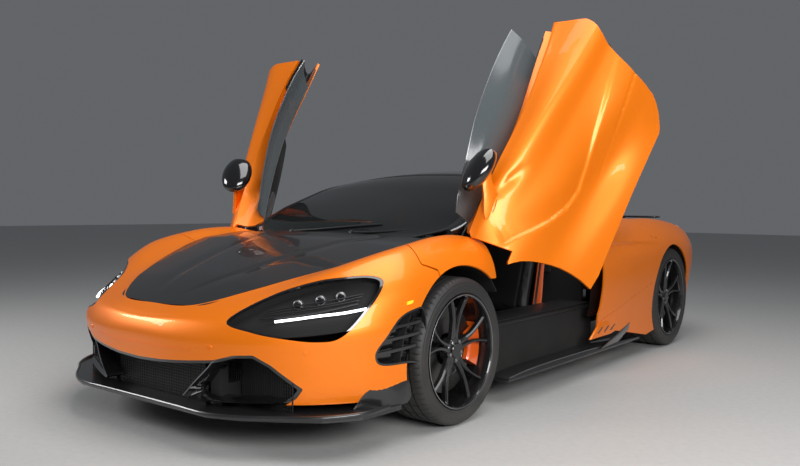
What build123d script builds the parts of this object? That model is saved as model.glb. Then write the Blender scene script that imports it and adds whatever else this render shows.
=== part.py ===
from build123d import *
import os
from math import sin, cos, radians, hypot

# Mid-engined two-seat car with upward-swinging doors, drawn with both doors open.
# Millimetres. The car faces -Y, its left side is +X, +Z is up.
# Origin: on the ground, under the middle of the closed-body length and width.

# ---------------------------------------------------------------- driving dimensions
WHEELBASE = 2670.0
FRONT_AXLE_Y = -1268.5
REAR_AXLE_Y = FRONT_AXLE_Y + WHEELBASE
FRONT_RIM_D, FRONT_SIDEWALL, FRONT_TYRE_W = 508.0, 73.0, 245.0
REAR_RIM_D, REAR_SIDEWALL, REAR_TYRE_W = 534.0, 78.5, 305.0
FRONT_HALF_TRACK = 832.0
REAR_HALF_TRACK = 802.0
FRONT_ARCH_GAP, REAR_ARCH_GAP = 53.0, 26.5      # tyre to the edge of the arch
FRONT_LINER_GAP, REAR_LINER_GAP = 69.0, 44.0    # tyre to the liner, room for steering in front
LINER_T = 4.0
PANEL_T = 14.0                 # body panels, skin and stiffeners together
DOOR_T = 50.0                  # outer skin to inner trim
DOOR_FLANGE = 30.0             # how far the thick part of a door stays inside its outline
TRIM_T = 10.0                  # the door's inner panel
GLASS_T = 6.0
SEAT_GAP = 0.3                 # between a piece and the curved one that carries it
SHUT_GAP = 6.0                 # between a door and the body
BONNET_GAP = 6.0
RIDE_HEIGHT = 112.0
FLOOR_T = 30.0
DOOR_SWING_DEG = 61.5          # from shut to fully open
DOOR_AXIS = (0.864, -0.286, -0.414)
DOOR_PIVOT = (628.0, -946.5, 850.0)
HINGE_PIN_R, HINGE_EYE_R, PIN_PLAY = 8.0, 15.0, 0.3

front_tyre_d = FRONT_RIM_D + 2 * FRONT_SIDEWALL
rear_tyre_d = REAR_RIM_D + 2 * REAR_SIDEWALL
front_axle_z, rear_axle_z = front_tyre_d / 2, rear_tyre_d / 2

# ---------------------------------------------------------------- body side, as a band
# Stations round half the car, nose to tail: plan x, plan y, heading of the inward
# direction (0 = straight back, 90 = towards the middle), then (inset, height) pairs.
BAND_COLUMNS = ("hem", "low", "waist", "mid", "upper", "crest", "inner", "gutter", "belt")
BAND = [
    ("nose",         0, -2270,   0, (6, 200), (14, 280), (10, 352), (0, 430), (14, 482), (34, 508), (52, 522)),
    ("nose_q",     250, -2256,   6, (8, 200), (14, 280), (10, 356), (0, 430), (18, 490), (48, 523), (80, 543)),
    ("nose_c",     462, -2202,  18, (14, 200), (12, 285), (6, 370), (0, 440), (26, 506), (95, 560), (190, 604)),
    ("corner_a",   640, -2112,  34, (20, 198), (14, 285), (5, 375), (2, 455), (40, 535), (150, 614), (270, 662)),
    ("corner_b",   782, -1982,  52, (24, 196), (16, 285), (6, 375), (4, 470), (50, 570), (175, 666), (295, 706)),
    ("corner_c",   882, -1825,  70, (24, 194), (14, 285), (6, 380), (4, 490), (46, 610), (165, 716), (280, 745)),
    ("arch_front", 938, -1650,  84, (16, 192), (10, 285), (4, 390), (2, 510), (34, 650), (150, 762), (268, 779)),
    ("arch_rise",  957, -1450,  90, (14, 190), (10, 290), (6, 400), (2, 560), (30, 690), (145, 800), (262, 802)),
    ("front_axle", 964, -1268,  90, (14, 190), (10, 290), (6, 420), (2, 600), (28, 710), (150, 824), (255, 820)),
    ("arch_fall",  962, -1090,  90, (16, 190), (12, 290), (8, 420), (2, 600), (28, 715), (140, 824), (286, 811)),
    ("wing_tail",  958,  -955,  90, (20, 170), (18, 280), (16, 420), (4, 600), (30, 720), (90, 800), (266, 802)),
]
# Behind the wings each station runs on over the ridge, down into the air channel and up
# to the foot of the side window.
SIDE = [
    ("door_tip",   960, -1010,  90, (18, 178), (16, 284), (13, 420), (3, 600), (29, 718), (84, 798), (122, 814),
     (178, 797), (262, 783)),
    ("door_front", 958,  -955,  90, (20, 170), (18, 280), (16, 420), (4, 600), (30, 720), (75, 800), (112, 826),
     (175, 799), (260, 786)),
    ("door_a",     950,  -700,  90, (18, 150), (22, 265), (40, 400), (16, 560), (30, 700), (50, 826), (104, 872),
     (176, 826), (238, 806)),
    ("door_b",     946,  -300,  90, (14, 125), (24, 250), (60, 380), (30, 540), (34, 690), (31, 838), (133, 896),
     (188, 838), (248, 851)),
    ("door_c",     956,   100,  90, (14, 120), (22, 250), (16, 385), (2, 560), (24, 710), (38, 850), (202, 943),
     (252, 824), (337, 906)),
    ("quarter_a",  964,   380,  90, (20, 120), (20, 250), (8, 390), (0, 570), (22, 730), (48, 868), (280, 972),
     (300, 812), (398, 943)),
    ("quarter_b",  965,   800,  90, (22, 120), (20, 250), (8, 400), (0, 580), (20, 745), (110, 880), (250, 905),
     (320, 904), (388, 922)),
    ("rear_axle",  965,  1401,  90, (22, 190), (20, 300), (10, 440), (0, 610), (22, 760), (135, 884), (260, 892),
     (350, 890), (430, 893)),
    ("quarter_c",  948,  1790,  95, (30, 230), (22, 320), (10, 450), (0, 600), (24, 740), (120, 850), (250, 880),
     (290, 882), (330, 884)),
    ("tail_a",     888,  2050, 110, (60, 250), (40, 340), (16, 460), (2, 600), (24, 730), (100, 825), (230, 872),
     (250, 874), (270, 876)),
]
TAIL = [
    ("tail_b",     770,  2190, 138, (90, 260), (60, 350), (20, 470), (4, 600), (20, 720), (70, 815), (190, 876)),
    ("tail_c",     570,  2252, 162, (100, 265), (70, 355), (24, 480), (4, 600), (14, 720), (50, 820), (170, 882)),
    ("tail_d",     290,  2269, 175, (100, 265), (70, 355), (24, 480), (4, 600), (12, 720), (40, 825), (150, 884)),
    ("tail",         0,  2271, 180, (100, 265), (70, 355), (24, 480), (4, 600), (12, 720), (40, 825), (150, 885)),
]

# Canopy sections across the car: y, centre height, rail x, rail z
CANOPY = [
    (-1090, 800, 560, 812), (-980, 868, 690, 852), (-800, 955, 704, 938), (-600, 1040, 704, 1010),
    (-430, 1105, 694, 1066), (-200, 1165, 664, 1108), (0, 1191, 628, 1124), (139, 1196, 596, 1122),
    (300, 1188, 560, 1100), (600, 1140, 500, 1050), (900, 1068, 430, 985), (1200, 990, 360, 930),
    (1500, 925, 300, 900),
]

# Bonnet edge, front to rear: half width, y, z
BONNET_EDGE = [
    (0, -2185, 548), (150, -2176, 549), (283, -2150, 558), (354, -2071, 588), (429, -1963, 627), (515, -1817, 669),
    (598, -1656, 712), (678, -1479, 754), (700, -1366, 781), (690, -1150, 806), (640, -1100, 812),
]
BONNET_REAR = (674, -1130, 808)
BONNET_CROWN = 14.0
BONNET_T = 12.0
BONNET_SPREAD = (-1, -0.8, -0.4, 0, 0.4, 0.8, 1)

# Door outline, shut: in side view (y, z), and in plan (x, y) round the front lip of its air channel
DOOR_OUTLINE = [
    (-985, 862), (-950, 700), (-932, 612), (-880, 470), (-846, 145), (-300, 205), (112, 249),
    (150, 330), (160, 570), (322, 735), (296, 890), (262, 975),
]
DOOR_PLAN = [
    (1100, -1100), (874, -1100), (868, -980), (846, -952), (790, -946), (745, -930), (700, -889), (500, -880),
    (500, 600), (1100, 600),
]

# Front openings (x, z) and the slot beside each front wheel (y, z)
MOUTH = [
    (-720, 258), (-632, 352), (-575, 389), (-500, 384), (-418, 360), (-285, 347), (-150, 337), (0, 332), (150, 337),
    (285, 347), (418, 360), (500, 384), (575, 389), (632, 352), (720, 258), (700, 222), (655, 186), (640, 60),
    (-640, 60), (-655, 186), (-700, 222),
]
LAMP = [
    (453, 510), (525, 603), (644, 658), (741, 677), (820, 683), (857, 668), (871, 627), (866, 559), (842, 481),
    (810, 445), (761, 441), (684, 452), (565, 474),
]
SIDE_SLOT = [
    (-1610, 548), (-1686, 520), (-1760, 440), (-1797, 381), (-1781, 340), (-1641, 330), (-1560, 330), (-1560, 548),
]
LAMP_DEPTH = 60.0


# ---------------------------------------------------------------- geometry helpers
def bonnet_edge_inset(plan_x, plan_y, turn):
    """Inset and height at which a station's line meets the bonnet's edge, seen from above."""
    dx, dy = -sin(turn), cos(turn)
    for (x0, y0, z0), (x1, y1, z1) in zip(BONNET_EDGE, BONNET_EDGE[1:]):
        ex, ey = x1 - x0, y1 - y0
        cross = dx * ey - dy * ex
        if abs(cross) < 1e-9:
            continue
        t = ((x0 - plan_x) * dy - (y0 - plan_y) * dx) / cross
        reach = (x0 + t * ex - plan_x) * dx + (y0 + t * ey - plan_y) * dy
        if -1e-6 <= t <= 1 + 1e-6 and reach > 0:
            return reach, z0 + t * (z1 - z0)
    raise ValueError("the station's line misses the bonnet's edge")


def band_point(row, column):
    """Point of one station at one of its columns."""
    name, plan_x, plan_y, heading = row[:4]
    inset, height = row[4 + column]
    turn = radians(heading)
    if BAND_COLUMNS[column] == "inner" and plan_y < BONNET_REAR[1]:
        reach, height = bonnet_edge_inset(plan_x, plan_y, turn)
        inset = reach - BONNET_GAP
    return Vector(plan_x - sin(turn) * inset, plan_y + cos(turn) * inset, height)


def mirrored(points):
    return [Vector(-p.X, p.Y, p.Z) for p in points]


def grid_normals(grid):
    """Unit normals at the nodes of a grid of points, pointing away from the car."""
    rows, columns = len(grid), len(grid[0])
    normals = []
    for i in range(rows):
        line = []
        for j in range(columns):
            along = grid[min(i + 1, rows - 1)][j] - grid[max(i - 1, 0)][j]
            across = grid[i][min(j + 1, columns - 1)] - grid[i][max(j - 1, 0)]
            line.append(along.cross(across).normalized())
        normals.append(line)
    return normals


def plate_solid(outer, inner, opposite=range(0)):
    """Closed flat-faced solid between two grids of points of the same shape.

    The rows in opposite are split along their other diagonals, so that two mirrored halves match.
    """
    rows, columns = len(outer), len(outer[0])
    faces = []

    def add(a, b, c, d, other=False):
        for corners in ((a, b, d), (b, c, d)) if other else ((a, b, c), (a, c, d)):
            p, q, r = corners
            if (q - p).cross(r - p).length > 1e-3:
                faces.append(Face(Wire.make_polygon(corners, close=True)))

    for i in range(rows - 1):
        other = i in opposite
        for j in range(columns - 1):
            add(outer[i][j], outer[i][j + 1], outer[i + 1][j + 1], outer[i + 1][j], other)
            add(inner[i][j], inner[i + 1][j], inner[i + 1][j + 1], inner[i][j + 1], other)
        add(outer[i][0], outer[i + 1][0], inner[i + 1][0], inner[i][0], other)
        add(outer[i][-1], inner[i][-1], inner[i + 1][-1], outer[i + 1][-1], other)
    for j in range(columns - 1):
        add(outer[0][j], inner[0][j], inner[0][j + 1], outer[0][j + 1])
        add(outer[-1][j], outer[-1][j + 1], inner[-1][j + 1], inner[-1][j])
    solid = Solid(Shell(faces))
    if solid.volume < 0:
        solid = Solid(Shell([-face for face in faces]))
    return solid


def skin(grid, thickness):
    """Panel of one thickness under a grid of surface points."""
    inner = [[p - n * thickness for p, n in zip(line, ns)] for line, ns in zip(grid, grid_normals(grid))]
    return plate_solid(grid, inner)


def prism_x(outline, x0, x1):
    """Prism along X over a closed outline of (y, z) points."""
    face = Face(Wire.make_polygon([Vector(x0, y, z) for y, z in outline], close=True))
    return Solid.extrude(face, Vector(x1 - x0, 0, 0))


def prism_y(outline, y0, y1):
    """Prism along Y over a closed outline of (x, z) points."""
    face = Face(Wire.make_polygon([Vector(x, y0, z) for x, z in outline], close=True))
    return Solid.extrude(face, Vector(0, y1 - y0, 0))


def prism_z(outline, z0, z1):
    """Prism along Z over a closed outline of (x, y) points."""
    face = Face(Wire.make_polygon([Vector(x, y, z0) for x, y in outline], close=True))
    return Solid.extrude(face, Vector(0, 0, z1 - z0))


def block(x0, x1, y0, y1, z0, z1):
    return Pos((x0 + x1) / 2, (y0 + y1) / 2, (z0 + z1) / 2) * Box(x1 - x0, y1 - y0, z1 - z0)


def drum_x(radius, x0, x1, y, z):
    """Cylinder along X."""
    return Pos((x0 + x1) / 2, y, z) * Rot(0, 90, 0) * Cylinder(radius, abs(x1 - x0))


def drum_z(radius, x, y, z0, z1):
    """Upright cylinder."""
    return Pos(x, y, (z0 + z1) / 2) * Cylinder(radius, z1 - z0)


def rod(radius, start, end):
    """Round bar between two points."""
    a, b = Vector(*start), Vector(*end)
    return extrude(Plane(origin=a, z_dir=b - a) * Circle(radius), (b - a).length)


def offset_outline(points, distance):
    """Closed outline moved outwards by a distance, corner by corner."""
    count = len(points)
    area = sum(points[i][0] * points[(i + 1) % count][1] - points[(i + 1) % count][0] * points[i][1]
               for i in range(count))
    side = 1.0 if area > 0 else -1.0
    moved = []
    for i in range(count):
        ax, ay = points[i - 1]
        bx, by = points[i]
        cx, cy = points[(i + 1) % count]
        l1, l2 = hypot(bx - ax, by - ay), hypot(cx - bx, cy - by)
        n1 = ((by - ay) / l1 * side, -(bx - ax) / l1 * side)
        n2 = ((cy - by) / l2 * side, -(cx - bx) / l2 * side)
        scale = distance / max(0.35, 1 + n1[0] * n2[0] + n1[1] * n2[1])
        moved.append((bx + (n1[0] + n2[0]) * scale, by + (n1[1] + n2[1]) * scale))
    return moved


def both_sides(shape):
    return [shape, mirror(shape, Plane.YZ)]


def hinge_point(reach):
    """Point of the left door's hinge line, a distance along it from the pivot."""
    return tuple(p + a * reach for p, a in zip(DOOR_PIVOT, DOOR_AXIS))


def swing(shape, side):
    """Turn a shut door piece about its hinge to the fully open place; side is +1 left, -1 right."""
    pivot = Vector(side * DOOR_PIVOT[0], DOOR_PIVOT[1], DOOR_PIVOT[2])
    direction = Vector(DOOR_AXIS[0], side * DOOR_AXIS[1], side * DOOR_AXIS[2])
    return shape.rotate(Axis(pivot, direction), DOOR_SWING_DEG)


def biggest(shape):
    return max(shape.solids(), key=lambda s: s.volume)


def save(name, shape):
    os.makedirs("parts", exist_ok=True)
    if isinstance(shape, (list, tuple)):
        shape = Compound(list(shape))
    shape.label = name
    export_step(shape, f"parts/{name}.step")


# ---------------------------------------------------------------- body panels
def grid_of(rows, columns=7):
    return [[band_point(row, j) for j in range(columns)] for row in rows]


def plane_normals(rows, grid):
    """Normals inside each station's own upright plane, so that panels meet on flat ends."""
    normals = []
    for row, line in zip(rows, grid_normals(grid)):
        across = Vector(cos(radians(row[3])), sin(radians(row[3])), 0)
        normals.append([(n - across * n.dot(across)).normalized() for n in line])
    return normals


def sunk(grid, normals, depth):
    return [[p - n * depth for p, n in zip(line, ns)] for line, ns in zip(grid, normals)]


front_rows = BAND
rear_rows = [SIDE[-1]] + TAIL
front_grid, rear_grid = grid_of(front_rows), grid_of(rear_rows)
front_normals, rear_normals = plane_normals(front_rows, front_grid), plane_normals(rear_rows, rear_grid)
side_grid = grid_of(SIDE, 9)
side_normals = plane_normals(SIDE, side_grid)
STATION = {row[0]: i for i, row in enumerate(BAND)}
SIDE_STATION = {row[0]: i for i, row in enumerate(SIDE)}


def nose_plate(last, depth):
    """Plate across the car's front, from one side's station round to the other's."""
    end = STATION[last] + 1
    outer = front_grid[:end]
    inner = sunk(outer, front_normals[:end], depth)
    return plate_solid([mirrored(line) for line in reversed(outer[1:])] + outer,
                       [mirrored(line) for line in reversed(inner[1:])] + inner, range(end - 1))


def wing_plate(depth, first_column=2):
    rows = slice(STATION["arch_rise"], None)
    outer = [line[first_column:] for line in front_grid[rows]]
    return plate_solid(outer, sunk(outer, [ns[first_column:] for ns in front_normals[rows]], depth))


def side_plate(first, last, depth, lift=0.0):
    rows = slice(SIDE_STATION[first], SIDE_STATION[last] + 1)
    grid, normals = side_grid[rows], side_normals[rows]
    return plate_solid(sunk(grid, normals, -lift), sunk(grid, normals, depth))


def tail_plate(depth):
    inner = sunk(rear_grid, rear_normals, depth)
    return plate_solid(rear_grid + [mirrored(line) for line in reversed(rear_grid[:-1])],
                       inner + [mirrored(line) for line in reversed(inner[:-1])],
                       range(len(rear_grid) - 1, 2 * len(rear_grid)))


def arch(axle_y, axle_z, radius):
    return drum_x(radius, 480, 1100, axle_y, axle_z)


front_arch = arch(FRONT_AXLE_Y, front_axle_z, front_axle_z + FRONT_ARCH_GAP)
rear_arch = arch(REAR_AXLE_Y, rear_axle_z, rear_axle_z + REAR_ARCH_GAP)
door_gap_prism = prism_x(offset_outline(DOOR_OUTLINE, SHUT_GAP), 400, 1100)
mouth_prism = prism_y(MOUTH, -2400, -1700)
lamp_prism = prism_y(LAMP, -2400, -1500)
slot_prism = prism_x(SIDE_SLOT, 500, 1100)

nose = nose_plate("arch_rise", PANEL_T) - [mouth_prism] - both_sides(lamp_prism) - both_sides(slot_prism)
save("nose", biggest(nose - both_sides(front_arch)))

lamp_body = nose_plate("arch_rise", LAMP_DEPTH) & prism_y(offset_outline(LAMP, -SEAT_GAP - 0.1), -2400, -1500)
save("headlights", both_sides(biggest(lamp_body)))

# Splitter: flat blade under the nose, with a plan that follows it
SPLITTER_Z, SPLITTER_T = 148.0, 20.0
SPLITTER_PLAN = [(0, -2256), (440, -2254), (569, -2204), (713, -2111), (829, -2031), (919, -1901), (930, -1680),
                 (640, -1660), (0, -1660)]
splitter_top = SPLITTER_Z + SPLITTER_T
half_splitter = prism_z(SPLITTER_PLAN, SPLITTER_Z, splitter_top)
save("splitter", biggest(half_splitter + mirror(half_splitter, Plane.YZ)))

# Black mesh behind the front opening, standing on the splitter
GRILLE_T = 15.0
grilles = [block(-300, 300, -2150, -2150 + GRILLE_T, splitter_top, 372)]
grilles += both_sides(block(400, 640, -2050, -2050 + GRILLE_T, splitter_top, 380))
save("grilles", grilles)

# ---------------------------------------------------------------- bonnet lid and its hinge
LID_PIVOT_Y, LID_PIVOT_Z, LID_EYE_R, LID_PIN_R = -1118.0, 790.0, 9.0, 5.0
LID_EAR_X, LID_EAR_W, LUG_W, LID_SIDE_GAP = 446.0, 12.0, 14.0, 2.0


def bonnet_edge_points():
    points = []
    for row in BAND:
        name, plan_x, plan_y, heading = row[:4]
        if plan_y < BONNET_REAR[1] and plan_x > 0:
            turn = radians(heading)
            reach, height = bonnet_edge_inset(plan_x, plan_y, turn)
            points.append(Vector(plan_x - sin(turn) * reach, plan_y + cos(turn) * reach, height))
    return points + [Vector(*BONNET_REAR)]


bonnet_rows = []
for edge in bonnet_edge_points():
    nose_bow = 9 if not bonnet_rows else 0
    bonnet_rows.append([Vector(-u * edge.X, edge.Y - (1 - abs(u)) * nose_bow,
                               edge.Z + BONNET_CROWN * (1 - u * u) * edge.X / BONNET_REAR[0])
                        for u in BONNET_SPREAD])
bonnet = skin(bonnet_rows, BONNET_T)
lug_x1 = LID_EAR_X - LID_SIDE_GAP
lug = block(lug_x1 - LUG_W, lug_x1, LID_PIVOT_Y - 32, LID_PIVOT_Y, LID_PIVOT_Z - LID_EYE_R, BONNET_REAR[2])
lug = lug + drum_x(LID_EYE_R, lug_x1 - LUG_W, lug_x1, LID_PIVOT_Y, LID_PIVOT_Z)
lug = lug + drum_x(LID_PIN_R, lug_x1 - 1, LID_EAR_X + LID_EAR_W, LID_PIVOT_Y, LID_PIVOT_Z)
save("bonnet", bonnet + both_sides(lug))

# ---------------------------------------------------------------- tub
TUB_FRONT_Y, TUB_REAR_Y, WALL_T = -1060.0, 360.0, 30.0
FOOTWELL_X, FLOOR_X, POST_X = 520.0, 600.0, 640.0
POST_Y0, POST_Y1 = -930.0, -900.0
SILL_X, SILL_FRONT_Y, SILL_TOP = 815.0, -860.0, 380.0
COWL_X, COWL_Z0, COWL_TOP = 690.0, 690.0, 790.0
TUNNEL_X, TUNNEL_TOP = 110.0, 330.0
BULKHEAD_X, BULKHEAD_TOP = 760.0, 780.0
floor_top = RIDE_HEIGHT + FLOOR_T

tub = block(-FLOOR_X, FLOOR_X, POST_Y0, TUB_REAR_Y, RIDE_HEIGHT, floor_top)
tub = tub + block(-FOOTWELL_X, FOOTWELL_X, TUB_FRONT_Y, TUB_FRONT_Y + WALL_T, RIDE_HEIGHT, COWL_TOP)
tub = tub + block(-FOOTWELL_X, FOOTWELL_X, TUB_FRONT_Y + WALL_T, POST_Y0, RIDE_HEIGHT, floor_top)
tub = tub + both_sides(block(FOOTWELL_X - WALL_T, FOOTWELL_X, TUB_FRONT_Y, POST_Y1, RIDE_HEIGHT, COWL_TOP))
tub = tub + both_sides(block(FOOTWELL_X - WALL_T, POST_X, POST_Y0, POST_Y1, RIDE_HEIGHT, COWL_TOP))
tub = tub + block(-COWL_X, COWL_X, TUB_FRONT_Y, POST_Y1, COWL_Z0, COWL_TOP)
tub = tub + both_sides(block(FLOOR_X, SILL_X, SILL_FRONT_Y, TUB_REAR_Y, RIDE_HEIGHT, SILL_TOP))
tub = tub + block(-BULKHEAD_X, BULKHEAD_X, TUB_REAR_Y - WALL_T, TUB_REAR_Y, RIDE_HEIGHT, BULKHEAD_TOP)
tub = tub + block(-TUNNEL_X, TUNNEL_X, TUB_FRONT_Y, TUB_REAR_Y, RIDE_HEIGHT, TUNNEL_TOP)
ear = block(LID_EAR_X, LID_EAR_X + LID_EAR_W, LID_PIVOT_Y, TUB_FRONT_Y, LID_PIVOT_Z - LID_EYE_R,
            LID_PIVOT_Z + LID_EYE_R)
ear = ear + block(LID_EAR_X, LID_EAR_X + LID_EAR_W, TUB_FRONT_Y, TUB_FRONT_Y + WALL_T, COWL_Z0,
                  LID_PIVOT_Z + LID_EYE_R)
ear = ear + drum_x(LID_EYE_R, LID_EAR_X, LID_EAR_X + LID_EAR_W, LID_PIVOT_Y, LID_PIVOT_Z)
ear = ear - drum_x(LID_PIN_R + PIN_PLAY, LID_EAR_X - 5, LID_EAR_X + LID_EAR_W + 5, LID_PIVOT_Y, LID_PIVOT_Z)
tub = tub + both_sides(ear)

# Door hinge, fixed half: a bracket out from the cowl that holds the slanting pin
PIN_START, PIN_END, EYE_START, EYE_END = 150.0, 203.0, 170.0, 198.0
BRACKET_Z0, BRACKET_Z1 = 712.0, 738.0
bracket = block(COWL_X, hinge_point(PIN_END)[0], -1030, -980, BRACKET_Z0, BRACKET_Z1)
bracket = bracket + block(hinge_point(PIN_START)[0] - 6, hinge_point(PIN_START)[0] + 8, -1012, -972,
                          BRACKET_Z0, hinge_point(PIN_START)[2] + 4)
bracket = bracket + rod(HINGE_PIN_R, hinge_point(PIN_START), hinge_point(PIN_END))
save("tub", biggest(tub + both_sides(bracket)))

# ---------------------------------------------------------------- canopy
RAIL_IN, RAIL_OUT, RAIL_T = 26.0, 2.0, 34.0     # rail edges in and out from the rail line, and its depth
RAIL_DROP = 6.0                                # how far its outer edge lies under the rail line
DOOR_GLASS_GAP = 6.0
ROOF_T = 22.0
ROOF_SPREAD = (0, 0.33, 0.66, 1)
ROOF_POWER = 2.2
PANE_TOP = 14.0                                # top of the side glass under the rail line
LEG_X0, LEG_X1, LEG_Y0, LEG_Y1 = 642.0, 684.0, -980.0, -945.0


def roof_z(zc, xr, zr, x):
    return zc - (zc - zr) * (x / xr) ** ROOF_POWER


def roof_line(row, reach):
    """Half of a section over the top, from the middle to a reach short of the rail line."""
    y, zc, xr, zr = row
    return [Vector(u * (xr - reach), y, roof_z(zc, xr, zr, u * (xr - reach))) for u in ROOF_SPREAD]


def between(table, y):
    """Row of a table at any y, by straight lines between its rows; y is each row's first value."""
    for a, b in zip(table, table[1:]):
        if a[0] <= y <= b[0]:
            t = (y - a[0]) / (b[0] - a[0])
            return tuple(p + (q - p) * t for p, q in zip(a, b))
    raise ValueError("y lies outside the table")


BELT = [(line[-1].Y, line[-1].X, line[-1].Z) for line in side_grid]


def pane(y_values, rail_gap):
    """Side glass between the rail's outer face and the belt; its foot stands just inside the belt's edge."""
    lines = []
    for y in y_values:
        _, zc, xr, zr = between(CANOPY, y)
        _, xb, zb = between(BELT, y)
        top = Vector(xr + RAIL_OUT + rail_gap + GLASS_T, y, zr - PANE_TOP)
        foot = Vector(xb - SEAT_GAP, y, zb + SEAT_GAP)
        bulge = min(18.0, 0.08 * (top.Z - foot.Z))
        middle = (top + foot) / 2 + Vector(bulge, 0, 0)
        lines.append([foot, middle, top])
    normals = [[Vector(n.X, 0, n.Z).normalized() for n in line] for line in grid_normals(lines)]
    return plate_solid(lines, sunk(lines, normals, GLASS_T))


def over_roof(first, last, thickness):
    lines = []
    for row in CANOPY[first:last + 1]:
        half = roof_line(row, RAIL_IN + SEAT_GAP)
        lines.append((mirrored(list(reversed(half)))[:-1] + half)[::-1])
    normals = [[Vector(n.X, 0, n.Z).normalized() for n in line] for line in grid_normals(lines)]
    return plate_solid(lines, sunk(lines, normals, thickness))


save("windscreen", over_roof(0, 5, GLASS_T))
save("roof", over_roof(5, 8, ROOF_T))
quarter_pane = pane((296, 300, 380, 600, 800, 900, 1200, 1401, 1500), SEAT_GAP)
quarter_pane = biggest(quarter_pane - side_plate("door_c", "tail_a", PANEL_T))
save("rear_glass", [over_roof(8, 12, GLASS_T)] + both_sides(quarter_pane))
rail_lines, rail_under = [], []
for y, zc, xr, zr in CANOPY[1:]:
    inner_x = xr - RAIL_IN
    normal = Vector(ROOF_POWER * (zc - zr) / xr, 0, 1).normalized()
    line = [Vector(inner_x, y, roof_z(zc, xr, zr, inner_x)), Vector(xr + RAIL_OUT, y, zr - RAIL_DROP)]
    rail_lines.append(line)
    rail_under.append([p - Vector(0, 0, RAIL_T / normal.Z) for p in line])
leg = block(LEG_X0, LEG_X1, LEG_Y0, LEG_Y1, COWL_TOP, 834)
save("cabin_frame", both_sides(plate_solid(rail_lines, rail_under) + leg))

# ---------------------------------------------------------------- sides and doors
# Hinge lip: the air channel's front edge is a thin skin, so that it passes over the wing
WING_END_Y, HINGE_NOTCH_X, HINGE_NOTCH_Y, WING_FOOT_Z = -1000.0, 830.0, -1022.0, 612.0
side_door = prism_x(DOOR_OUTLINE, 400, 1100) & prism_z(DOOR_PLAN, 90, 1100)
door = side_plate("door_tip", "quarter_a", PANEL_T) & side_door
core_rows = slice(SIDE_STATION["door_front"], SIDE_STATION["quarter_a"] + 1)
core_grid = [line[:5] for line in side_grid[core_rows]]
core_normals = [ns[:5] for ns in side_normals[core_rows]]
core_box = prism_x(offset_outline(DOOR_OUTLINE, -DOOR_FLANGE), 400, 1100) - block(400, 1100, -1100, -890, 90, 1100)
core = plate_solid(sunk(core_grid, core_normals, PANEL_T), sunk(core_grid, core_normals, DOOR_T)) & core_box
# inner panel: from the trim's upper edge across to the underside of the air channel
trim_rows = side_grid[core_rows]
trim_normals = side_normals[core_rows]
trim_top = [[line[4] - ns[4] * (DOOR_T - 1), line[7] - ns[7] * (PANEL_T - 1)]
            for line, ns in zip(trim_rows, trim_normals)]
trim_low = [[p - Vector(0.3, 0, 0.95) * TRIM_T for p in line] for line in trim_top]
trim = plate_solid(trim_top, trim_low) & core_box
HINGE_ARM_R, HINGE_ARM_END = 9.0, (796, -910, 791)
eye_axis = (hinge_point(EYE_START), hinge_point(EYE_END))
eye_mid = hinge_point((EYE_START + EYE_END) / 2)
hinge_arm = rod(HINGE_EYE_R, *eye_axis) + rod(HINGE_ARM_R, eye_mid, HINGE_ARM_END)
hinge_arm = hinge_arm - rod(HINGE_PIN_R + PIN_PLAY, hinge_point(EYE_START - 10), hinge_point(EYE_END + 10))
door = biggest(door + core + trim + hinge_arm)

# mirror: a flattened egg with a flat glass side, on a blade that grows out of the door
MIRROR_AT, MIRROR_SIZE, MIRROR_FACE_Y = (878, -688, 960), (88, 124, 52), -590
mirror_head = Pos(*MIRROR_AT) * scale(Sphere(1), by=MIRROR_SIZE)
mirror_head = mirror_head & block(700, 1100, -900, MIRROR_FACE_Y, 800, 1100)
STALK_OUTLINE = [(-872, 800), (-771, 785), (-700, 886), (-600, 945), (-640, 950), (-749, 912), (-799, 870)]
stalk = prism_x(STALK_OUTLINE, 878, 898)
stalk = stalk - side_plate("door_tip", "quarter_a", PANEL_T * 6, lift=SEAT_GAP) - mirror_head

# the quarter's upper front edge stands back, so that the door's channel swings out past it
QUARTER_TOP_CUT = [(100, 735), (336, 735), (322, 860), (308, 1000), (100, 1000)]
QUARTER_FOOT = [(50, 80), (50, 262), (178, 262), (1020, 118), (1020, 80)]
below_quarter = prism_x(QUARTER_FOOT, 400, 1100)

for side, sign in (("left", 1), ("right", -1)):
    def place(shape):
        return shape if sign > 0 else mirror(shape, Plane.YZ)

    # Front wing: over the wheel, ending ahead of the door, with a notch over the hinge
    wing = wing_plate(PANEL_T) - [front_arch, door_gap_prism,
                                  block(400, 1100, -1100, -600, 300, WING_FOOT_Z),
                                  block(400, 1100, WING_END_Y, -600, WING_FOOT_Z, 950),
                                  block(400, HINGE_NOTCH_X, HINGE_NOTCH_Y, -600, 700, 950)]
    save(f"fender_{side}", place(biggest(wing)))

    # Rear quarter: from the door's rear edge round to the tail
    quarter = side_plate("door_c", "tail_a", PANEL_T)
    quarter = quarter - [rear_arch, door_gap_prism, block(400, 1100, -100, 178, 90, 1000),
                         prism_x(QUARTER_TOP_CUT, 400, 1100), below_quarter]
    save(f"quarter_{side}", place(biggest(quarter)))
    save(f"door_{side}", swing(place(door), sign))
    save(f"door_glass_{side}", swing(place(pane((-880, -800, -700, -600, -430, -300, -200, 0, 100, 139, 256),
                                                 DOOR_GLASS_GAP)), sign))
    save(f"mirror_{side}", swing(place(Compound([biggest(mirror_head), biggest(stalk)])), sign))

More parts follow.
